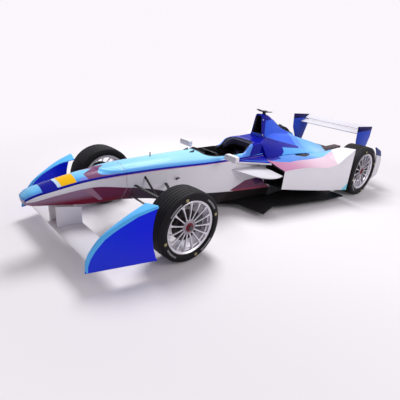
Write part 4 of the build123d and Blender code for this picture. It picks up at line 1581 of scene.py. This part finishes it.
# %% tree that sets studs on points
def build_stud_tree():
    tree, into = new_tree("studs_on_points", [
        ("Radius", "NodeSocketFloat", 0.004), ("Height", "NodeSocketFloat", 0.002),
        ("Taper", "NodeSocketFloat", 0.8), ("Sides", "NodeSocketInt", 10),
    ])
    stud = add(tree, "GeometryNodeMeshCone", {
        "Vertices": into["Sides"], "Radius Bottom": into["Radius"], "Depth": into["Height"],
        "Radius Top": calc(tree, "MULTIPLY", into["Radius"], into["Taper"]),
    })
    facing = add(
        tree, "GeometryNodeInputNamedAttribute", {"Name": "facing"}, data_type="FLOAT_VECTOR",
    )
    inputs = {"Vector": facing.outputs["Attribute"]}
    turn = add(tree, "FunctionNodeAlignRotationToVector", inputs, axis="Z")
    copies = add(tree, "GeometryNodeInstanceOnPoints", {
        "Points": into["Geometry"], "Instance": stud.outputs["Mesh"],
        "Rotation": turn.outputs["Rotation"],
    })
    return finish_tree(tree, into, copies.outputs["Instances"])


stud_tree = build_stud_tree()


def studs(name, places, radius, height, material, taper=0.8, sides=10):
    """Studs at (point, facing) places, each with its foot on the point."""
    mesh = bpy.data.meshes.new(name)
    mesh.from_pydata([p for p, _ in places], [], [])
    mesh.attributes.new("facing", "FLOAT_VECTOR", "POINT")
    for item, (_, facing) in zip(mesh.attributes["facing"].data, places):
        item.vector = Vector(facing).normalized()
    sizes = {"Radius": radius, "Height": height, "Taper": taper, "Sides": sides, "Material": material}
    piece = grown(placed(name, mesh), stud_tree, sizes)
    piece.data.name = name
    shade(piece.data, 35)
    return piece


def both_sides(places):
    """Places and their mirror images."""
    return places + [(Vector((-p.x, p.y, p.z)), (-f[0], f[1], f[2])) for p, f in places]


print("tree:", stud_tree.name)

# %% brake discs
# painted shade: the drilled holes are flat black discs on both faces, standing in for the dark inside
# each hole
hole_black = carbon("hole_black", grey(0.002), grey(0.005), 0.7)
DISC_AT = 90  # how far the disc's middle lies inside the wheel's outer face


def disc_profiles(axle):
    x, hub = axle["half"] - DISC_AT, axle["half"] - 57
    ring = [
        (x - 14, 92), (x - 14, 138), (x - 12.5, 139), (x - 5, 139), (x - 3, 136),
        (x + 3, 136), (x + 5, 139), (x + 12.5, 139), (x + 14, 138), (x + 14, 92),
    ]
    hat = [
        (x - 10, 66), (x - 10, 93), (x + 10, 93), (x + 10, 72), (hub - 4, 64),
        (hub, 60), (hub, 21), (hub - 6, 21), (hub - 6, 56), (x + 2, 66),
    ]
    return [ring, hat]


def disc_holes(axle, sign):
    """Places of the drilled holes: five rows on each face, each row a little further round."""
    places = []
    for row, radius in enumerate((101, 109, 117, 125, 132)):
        for k in range(24):
            turn = tau * (k + row * 0.22) / 24
            for face in (1, -1):
                x = axle["half"] - DISC_AT + face * 13.9
                places.append((axle_point(axle, sign, x, radius, turn), (face * sign, 0, 0)))
    return places


for end, side, sign, axle in WHEELS:
    name, body = f"disc_{end}_{side}", f"{end}_wheel_{side}"
    disc = turned_piece(f"{name}_iron", axle, sign, disc_profiles(axle), 72)
    settle(painted(disc, disc_iron[end]), body, "disc", f"brake_{name}")
    holes = studs(f"{name}_holes", disc_holes(axle, sign), 0.0028, 0.0004, hole_black, 1.0, 8)
    settle(holes, body, "disc")

# %% fasteners on the body
stud_pale = metal(
    "fastener_pale", rgb(196, 196, 204), rgb(240, 240, 246), 0.4, pitch=0.003, metallic=0.3,
)
stud_steel = metal("fastener_steel", rgb(90, 90, 96), rgb(150, 150, 156), 0.4, pitch=0.003)


def surface_points(piece, rays):
    """Where rays (start, direction) meet a piece, with the normals there."""
    found = []
    for start, way in rays:
        hit, place, normal, _ = piece.ray_cast(start, Vector(way).normalized())
        if hit:
            found.append((place + normal * 0.0002, tuple(normal)))
    return found


bpy.context.view_layer.update()
INWARD, DOWNWARD = (-1, 0, 0), (0, 0, -1)
COVER_SEAM = [(900, s, 778 - 0.27 * (s - 1776)) for s in steps_between(1640, 2300, 16)]
# name, skin, where the rays start, their way, radius, height, metal, taper, sides
FASTENERS = [
    ("cover_fasteners", cover, COVER_SEAM, INWARD, 0.005, 0.0012, stud_steel, 0.85, 10),
    ("roll_hoop_bolts", cover, [(900, 1766, 979), (900, 1752, 800)],
     INWARD, 0.009, 0.003, stud_pale, 0.75, 12),
    ("nose_fasteners", nose, [(x, -236, 900) for x in (40, 90, 132)],
     DOWNWARD, 0.005, 0.0012, stud_steel, 0.85, 10),
    ("rear_plate_bolts", bpy.data.objects["rear_endplate_pair"],
     [(900, s, z) for s in (3400, 3500, 3590) for z in (600, 850)],
     INWARD, 0.006, 0.0012, stud_steel, 0.8, 12),
]
for name, piece, starts, way, *sizes in FASTENERS:
    found = surface_points(piece, [(at(*start), way) for start in starts])
    settle(studs(name, both_sides(found), *sizes), "chassis", "bare_metal")

# %% rear light
lens_red = speckled(
    "rear_light_red", (0.30, 0.004, 0.008, 1), (0.55, 0.012, 0.018, 1), 120, 0.1, 0.1,
    Coat_Weight=0.4,
)
lamp_body = loft("rear_light_body", [
    (s, four(38 + grow, 320 - grow, 38 + grow, 405 + grow, 7))
    for s, grow in ((3918.5, 0), (3925, 0), (3927, -3))
], 4)
settle(painted(lamp_body, inside_carbon), "chassis", "lamp", "rear_light")
cells = [
    (at(x, 3926.8, z), (0, 1, 0)) for x in (-26, -13, 0, 13, 26) for z in (334, 348, 362, 376, 390)
]
settle(studs("rear_light_cells", cells, 0.0052, 0.0024, lens_red, 0.6, 12), "chassis", "lamp")

# %% [markdown]
# ## Slats
# The radiators in the sidepods and the vents on top of them are the same thin blade many times, so a
# tree stacks copies of one blade along a step.

# %% tree that stacks blades
def build_stack_tree():
    tree, into = new_tree("blades_in_a_row", [
        ("Count", "NodeSocketInt", 8), ("Step", "NodeSocketVector", (0, 0, 0.01)),
    ])
    line = add(
        tree, "GeometryNodeMeshLine", {"Count": into["Count"], "Offset": into["Step"]}, mode="OFFSET",
    )
    copies = add(tree, "GeometryNodeInstanceOnPoints", {
        "Points": line.outputs["Mesh"], "Instance": into["Geometry"],
    })
    return finish_tree(tree, into, copies.outputs["Instances"])


stack_tree = build_stack_tree()


def blade_pair(name, x0, x1, profile):
    """A blade on both sides of the car; the profile is (station, z) corners."""
    return skinned(
        name, [[[at(side * x, s, z) for s, z in profile] for x in (x0, x1)] for side in (1, -1)],
    )


radiator = blade_pair(
    "radiator_fins", 350.5, 535, [(1950, 336), (1996, 333), (1996, 335), (1950, 338)],
)
grown(radiator, stack_tree, {"Count": 13, "Step": (0, 0, 0.0085), "Material": casing_metal})
settle(radiator, "chassis", "casing")
vents = blade_pair(
    "pod_vent_blades", 334.5, 408, [(2180, 542), (2204, 552), (2205, 550), (2181, 540)],
)
grown(vents, stack_tree, {"Count": 6, "Step": (0, 0.034, 0), "Material": inside_carbon})
settle(vents, "chassis", "carbon")

# %% [markdown]
# ## Roof camera, mounts and rods
# A thin bar stands on a mast over the roll hoop, and its tips curl upward. Small black feet and a low
# screen stand ahead of the cockpit, a bead edges the opening, and a short probe stands out of each
# flank.

# %% round rods along a path
BAR_HALF = 107
CAMERA_HEIGHT = 1071


def circle(count, radius, flat=1.0):
    """Points round a circle, or round an ellipse that is flatter upward."""
    turns = [tau * k / count for k in range(count)]
    return [(radius * cos(turn), radius * flat * sin(turn)) for turn in turns]


def tube(points, radius, count=10, up=Vector((0, 0, 1)), flat=1.0):
    """Loops of a round or flattened rod through points."""
    rows = []
    last = len(points) - 1
    for i, p in enumerate(points):
        way = (points[min(i + 1, last)] - points[max(i - 1, 0)]).normalized()
        across = way.cross(up).normalized()
        rise = across.cross(way)
        r = radius(i / last) if callable(radius) else radius
        rows.append([p + across * a + rise * b for a, b in circle(count, r, flat)])
    return rows


def smooth_path(points, count):
    """Points on a curve through the given ones."""
    path = []
    last = len(points) - 1
    for k in range(count + 1):
        t = k / count * last
        i = min(int(t), last - 1)
        t -= i
        p0, p1, p2, p3 = (points[max(0, min(last, j))] for j in (i - 1, i, i + 1, i + 2))
        square, cube = 2 * p0 - 5 * p1 + 4 * p2 - p3, 3 * p1 - p0 - 3 * p2 + p3
        path.append(0.5 * (2 * p1 + (p2 - p0) * t + square * t**2 + cube * t**3))
    return path


def round_row(station, radius, count):
    """A loop of the camera's round body at a station."""
    return [at(a, station, CAMERA_HEIGHT + b) for a, b in circle(count, radius, 0.85)]


def bar_row(x):
    """A section of the bar, thinner and curled upward toward its tip."""
    out = abs(x) / BAR_HALF
    deep, thick = 36 - 12 * out**2, 18 - 9 * out**2
    loop = rounded([
        (-deep, -thick * 0.4, 3), (deep, -thick * 0.5, 2), (deep, thick * 0.2, 2),
        (-deep, thick * 0.5, 4),
    ], 3)
    return [at(x, 1838 + p.x, 1070 + 10 * out**3 + p.y) for p in loop]


def mast_row(z, half):
    return [at(p.x, 1836 + p.y, z) for p in rounded(four(9, -half, 11, half, 6, 8), 3)]


roof_camera = skinned("roof_camera", [
    [bar_row(x) for x in steps_between(-BAR_HALF, BAR_HALF, 24)],
    [mast_row(z, half) for z, half in ((1030, 34), (1046, 26), (1058, 22), (1068, 26))],
    [round_row(s, r, 14) for s, r in ((1790, 6), (1796, 11), (1850, 13), (1882, 7))],
], 40)
settle(painted(roof_camera, floor_carbon), "chassis", "carbon", "roll_hoop_camera")
lens = skinned(
    "roof_camera_lens", [[round_row(s, r, 16) for s, r in ((1791, 5.5), (1789.4, 5.5), (1788.6, 4))]],
)
settle(painted(lens, glass), "chassis", "carbon")

# %% small black parts on the body
SCREEN_HALF = 112


def foot_rows(x, station):
    """A foot ahead of the opening, low at the front."""
    rows = []
    for run, half, rise in ((-34, 3, 1), (-20, 9, 9), (6, 11, 15), (24, 9, 20), (34, 4, 21)):
        base = top_height(x, station + run) - 1.5
        loop = rounded(four(half, 0, half * 0.6, rise, 1, half * 0.5), 3)
        rows.append([at(x + p.x, station + run, base + p.y) for p in loop])
    return rows


def screen_row(x):
    """A section of the low screen at the front of the opening."""
    out = abs(x) / SCREEN_HALF
    s = 722 + 30 * out**2.2
    z, rise = top_height(x, s), 24 * max(0.05, 1 - out**2)
    return [
        at(x, a, b)
        for a, b in ((s - 7, z - 2), (s - 4, z - 2), (s + 9, z + rise), (s + 7.5, z + rise))
    ]


RIM_LINE = [(196, 1212), (190, 1080), (178, 930), (160, 830), (118, 752), (60, 727)]
rim = [(-x, s) for x, s in RIM_LINE] + [(0, 722)] + RIM_LINE[::-1]
bead = [at(p.x, p.y, top_height(*p) - 1) for p in smooth_path([Vector(p) for p in rim], 72)]
trim = skinned("cockpit_trim", [
    foot_rows(52, 640), foot_rows(-52, 640), tube(bead, 0.0055, 8),
    [screen_row(x) for x in steps_between(-SCREEN_HALF, SCREEN_HALF, 28)],
], 40)
settle(painted(trim, link_carbon), "chassis", "carbon")
probe_rods = []
for side in (1, -1):
    foot, head = at(side * 190, 345, 486), at(side * 214, 338, 512)
    probe_rods.append(tube([foot, head], 0.0045, 8))
    spots = [head + Vector((0, y, 0.002)) for y in (-0.026, -0.020, 0.020, 0.026)]
    probe_rods.append(tube(spots, lambda t: 0.004 if t in (0, 1) else 0.0085))
settle(painted(skinned("flank_probes", probe_rods, 40), link_carbon), "chassis", "link_black")

# %% [markdown]
# ## Steering wheel
# It is a carbon plate with a display and switches between two moulded grips. Its pieces are laid out
# flat, across and up the wheel, and one function leans them to the column's rake. The switches come
# from the stud tree.

# %% steering wheel
WHEEL_AT = at(0, 960, 598)
WHEEL_OUT = Vector((0, cos(radians(20)), sin(radians(20))))
WHEEL_UP = Vector((0, -sin(radians(20)), cos(radians(20))))


def on_wheel(a, b, c):
    """Point a across, b up and c toward the driver from the wheel's centre, in millimetres."""
    return WHEEL_AT + Vector((a * MM, 0, 0)) + WHEEL_UP * b * MM + WHEEL_OUT * c * MM


def slab(corners, low, high, inset=2):
    """Loops of a flat plate of the wheel, with its edges eased by the inset."""
    rows = []
    for c, grow in ((low, -inset), (low + inset, 0), (high - inset, 0), (high, -inset)):
        loop = rounded(corners, 4)
        middle = sum(loop, Vector((0, 0))) / len(loop)
        rows.append([on_wheel(*(p + (p - middle).normalized() * grow), c) for p in loop])
    return rows


def on_steering(piece, material, slot="carbon", *nodes):
    settle(painted(piece, material), "steering_wheel", slot, *nodes)


PLATE = [(-66, -76, 26), (66, -76, 26), (84, 10, 30), (76, 76, 24), (-76, 76, 24), (-84, 10, 30)]
GRIP_LINE = [
    (60, 66, 13), (92, 68, 14), (116, 52, 15), (121, 12, 15), (116, -34, 15), (94, -62, 14),
    (60, -64, 13),
]
BOSS = [(-29.5, 22), (-27, 24.5), (4, 24.5)]
boss = [[on_wheel(a, b, c) for a, b in circle(24, r)] for c, r in BOSS]
plate = skinned("steering_wheel_plate", [slab(PLATE, 4, 20), boss])
on_steering(plate, link_carbon, "carbon", "steering_wheel")
grip_rods = []
for side in (1, -1):
    path = smooth_path([Vector((side * a, b, c)) for a, b, c in GRIP_LINE], 30)
    thick = [on_wheel(*p) for p in path]
    grip_rods.append(tube(thick, lambda t: 0.009 + 0.0042 * sin(pi * t), 14, WHEEL_OUT, 0.95))
grips = skinned("steering_wheel_grips", grip_rods, 60)
on_steering(grips, speckled(
    "grip_suede", grey(0.012, 0.002), grey(0.04, 0.005), 420, 0.9, 0.0, 3, (0.3, 0.0006),
    Sheen_Weight=0.3,
))

# %% display and switches
screen_glass, tree, shader = new_material("display_glass")
inputs = {"Scale": 30, "Vector": object_point(tree)}
lines = add(tree, "ShaderNodeTexWave", inputs, wave_type="BANDS", bands_direction="Z")
glow = mix_colour(tree, lines.outputs["Fac"], (0.006, 0.010, 0.014, 1), (0.02, 0.035, 0.05, 1))
feed(tree, shader, {"Base Color": glow, "Roughness": 0.08})
display = skinned("steering_wheel_display", [slab(four(44, 6, 44, 56, 5), 19, 23, 1)])
on_steering(display, screen_glass)
switch_red = metal("switch_red", rgb(150, 20, 24), rgb(200, 40, 40), 0.4, pitch=0.002, metallic=0.0)
switch_pale = metal(
    "switch_pale", rgb(150, 150, 156), rgb(214, 214, 218), 0.4, pitch=0.002, metallic=0.0,
)
SWITCHES = [(-60, 44), (-60, 20), (-62, -6), (60, 44), (60, 20), (62, -6), (-30, -14), (30, -14)]
# name, places, radius, height, material, taper, sides, finish
BUTTONS = [
    ("switches", SWITCHES[2:], 0.006, 0.005, switch_pale, 0.85, 14, "carbon"),
    ("stops", SWITCHES[:2], 0.006, 0.006, switch_red, 0.85, 14, "lamp"),
    ("dials", [(a, -46) for a in (-26, 0, 26)], 0.010, 0.007, switch_pale, 0.9, 20, "carbon"),
]
for name, spots, radius, height, material, taper, sides, slot in BUTTONS:
    places = [(on_wheel(a, b, 20), WHEEL_OUT) for a, b in spots]
    buttons = studs(f"steering_wheel_{name}", places, radius, height, material, taper, sides)
    settle(buttons, "steering_wheel", slot)

# %% [markdown]
# ## Seat, pads and belts
# The seat is a thin carbon shell with raised sides. Its pads and the collar's head protection are foam
# under fabric, and cloth gives them their crown: each starts a little small, is remeshed evenly, swells
# under pressure without gravity, and no point may move further than a cap. The channels are pressed in
# afterwards, because the remesh would erase them. The belts are flat webbing, so they are modelled
# directly.

# %% fabric
def fabric(name, dark, light, tow, sheen):
    material, tree, shader = new_material(name)
    point = object_point(tree)
    weave = grouped(tree, twill_group, Tow=tow, Point=point)
    cloud = noise(tree, point, 14, 5)
    worn = calc(tree, "MULTIPLY_ADD", cloud, 0.8, 0.4)
    share = calc(tree, "MULTIPLY", weave["Height"], worn, clamp=True)
    feed(tree, shader, {
        "Base Color": mix_colour(tree, share, dark, light),
        "Roughness": calc(tree, "MULTIPLY_ADD", cloud, 0.15, 0.75),
        "Normal": bumped(tree, weave["Height"], 0.35, 0.0008), "Sheen Weight": sheen,
    })
    return material


pad_fabric = fabric("pad_fabric", grey(0.008, 0.002), grey(0.022, 0.004), 0.0022, 0.15)
head_fabric = fabric("head_fabric", rgb(8, 8, 34), rgb(20, 22, 66), 0.002, 0.1)
webbing = fabric("belt_webbing", rgb(18, 24, 60), rgb(50, 60, 120), 0.0016, 0.1)
print("fabrics ready")

# %% seat shell
SEAT_TOP = 599
INNER_LINE = [
    (1004, 206), (1110, 196), (1212, 184), (1285, 236), (1490, 424), (1508, 500), (1524, 596),
]


SEAT_LINE = smooth_path([Vector(p) for p in INNER_LINE], 60)


def line_at(t):
    """Point and upward normal on the seat's inner line; t runs from 0 to 1."""
    last = len(SEAT_LINE) - 1
    i = min(last - 1, int(t * last))
    p = SEAT_LINE[i].lerp(SEAT_LINE[i + 1], t * last - i)
    way = (SEAT_LINE[min(last, i + 2)] - SEAT_LINE[max(0, i - 1)]).normalized()
    return p, Vector((-way.y, way.x))


def seat_row(x):
    """A section along the seat: its inner line, raised toward the sides, and its underside."""
    wing = max(0.0, (abs(x) - 104) / 40) ** 1.6
    top = []
    for t in steps_between(0, 1, 30):
        p, up = line_at(t)
        rise = 0
        if 0.02 < t < 0.93:
            rise = 42 * wing * sin(pi * min(1, t * 1.1 - 0.02)) ** 0.5
        q = p + up * rise
        top.append((q.x, min(q.y, SEAT_TOP)))
    under = [(1558, SEAT_TOP), (1558, 424), (1404, 290), (1250, 157), (1004, 157)]
    return [at(x, s, z) for s, z in top + under]


seat_shell = skinned("seat_shell", [[seat_row(x) for x in steps_between(-144, 144, 32)]], 40)
settle(painted(seat_shell, inside_carbon), "chassis", "carbon", "seat")

# %% padded pieces
def pad_along(name, path, half, thick):
    """A soft slab along (point, upward) pairs; its rounded section thins toward both ends."""
    rows = []
    last = len(path) - 1
    for i, (p, up) in enumerate(path):
        end = min(1.0, (min(i, last - i) + 0.7) / 3) ** 0.5
        w, t = half * (0.90 + 0.10 * end), thick * (0.35 + 0.65 * end)
        loop = rounded(four(w, 0, w, t, t * 0.3, t * 0.5), 4)
        rows.append([p + ACROSS * q.x * MM + up * q.y * MM for q in loop])
    return skinned(name, [rows], 180)


def puffed(piece, voxel, cap, channels=None):
    """Swells a pad with cloth, keeps each point within the cap, then presses the channels in."""
    modify(piece, "REMESH", mode="VOXEL", voxel_size=voxel)
    baked(piece)
    start = [v.co.copy() for v in piece.data.vertices]
    cloth = modify(piece, "CLOTH").settings
    cloth.use_pressure = True
    cloth.uniform_pressure_force = 4
    cloth.effector_weights.gravity = 0
    cloth.quality = 5
    scene = bpy.context.scene
    for frame_number in range(1, 21):
        scene.frame_set(frame_number)
    baked(piece)
    scene.frame_set(1)
    for v, p in zip(piece.data.vertices, start):
        move = v.co - p
        if move.length > cap:
            v.co = p + move.normalized() * cap
    bm = bmesh.new()
    bm.from_mesh(piece.data)
    every_way = {f"use_axis_{axis}": True for axis in "xyz"}
    bmesh.ops.smooth_vert(bm, verts=bm.verts, factor=0.5, **every_way)
    bmesh.ops.recalc_face_normals(bm, faces=bm.faces)
    if channels:
        bm.normal_update()
        moves = [(v, v.normal * -channels(v.co)) for v in bm.verts]
        for v, move in moves:
            v.co += move
    bm.to_mesh(piece.data)
    bm.free()
    modify(piece, "SUBSURF", levels=1, render_levels=1)
    baked(piece)
    piece.data.shade_smooth()
    print(piece.name, len(piece.data.vertices), "points")
    return piece


def press(distance, pitch, width, depth):
    """Depth of a sewn channel at a distance along the pad."""
    off = abs((distance / pitch) % 1 - 0.5) * pitch
    return depth * MM * exp(-((off / width) ** 2))


def settle_pad(pad, material):
    settle(painted(pad, material), "chassis", "carbon")


ACROSS = Vector((1, 0, 0))
for name, start, end in (("seat_pad_base", 0.03, 0.40), ("seat_pad_back", 0.47, 0.90)):
    path = []
    for t in steps_between(start, end, 22):
        p, up = line_at(t)
        up = Vector((0, up.x, up.y))
        path.append((at(0, p.x, p.y) + up * MM, up))
    pad = pad_along(name, path, 96, 15)
    puffed(pad, 0.005, 0.005, lambda co: press((co.y + co.z) / MM, 84, 6, 4))
    settle_pad(pad, pad_fabric)

# %% head protection
RING_HALF = [(173, 1345, 640), (174, 1400, 672), (170, 1455, 690), (140, 1500, 694), (78, 1521, 694)]
RING = [(-x, s, z) for x, s, z in RING_HALF] + [(0, 1524, 694)] + RING_HALF[::-1]
RING_PATH = smooth_path([Vector(p) for p in RING], 44)
HEAD_AT = Vector((0, 1380, 0))


def head_row(i):
    """A rounded section across the ring, smaller toward both ends."""
    p, last = RING_PATH[i], len(RING_PATH) - 1
    way = RING_PATH[min(i + 1, last)] - RING_PATH[max(i - 1, 0)]
    inward = Vector((-way.y, way.x, 0)).normalized()
    if inward.dot(HEAD_AT - Vector((p.x, p.y, 0))) < 0:
        inward = -inward
    end = min(1.0, (min(i, last - i) + 0.6) / 4) ** 0.5
    tall = (30 + 12 * min(1.0, (p.z - 640) / 50)) * (0.5 + 0.5 * end)
    wide = 14 * (0.6 + 0.4 * end)
    loop = rounded([(-wide, -tall, 9), (wide, -tall, 12), (wide, tall, 13), (-wide, tall, 9)], 4)
    return [at(*(p + inward * q.x + Vector((0, 0, q.y)))) for q in loop]


head_pad = skinned("head_pad", [[head_row(i) for i in range(len(RING_PATH))]], 180)
settle_pad(puffed(head_pad, 0.006, 0.005), head_fabric)

# %% belts
def belt_row(side, t):
    """A section of a belt that lies a little above the seat, nearer to it at the two ends."""
    p, up = line_at(t)
    lift = 24 if 0.45 < t < 0.92 else 24 * max(0.3, 1.7 - abs(t - 0.685) * 3)
    q = p + up * lift
    foot, up = at(side * (26 + 34 * t), q.x, q.y), Vector((0, up.x, up.y))
    return [
        foot + ACROSS * a * MM + up * b * MM for a, b in ((-23, 0), (23, 0), (23, 2.2), (-23, 2.2))
    ]


belts = skinned("shoulder_belts", [
    [belt_row(side, t) for t in steps_between(0.42, 0.97, 30)] for side in (1, -1)
], 50)
settle(painted(belts, webbing), "chassis", "carbon")
p, up = line_at(0.41)
buckle_at = at(0, p.x + up.x * 25, p.y + up.y * 25)
buckle = studs("belt_buckle", [(buckle_at, (0, up.x, up.y))], 0.026, 0.012, stud_steel, 0.8, 28)
settle(buckle, "chassis", "bare_metal")
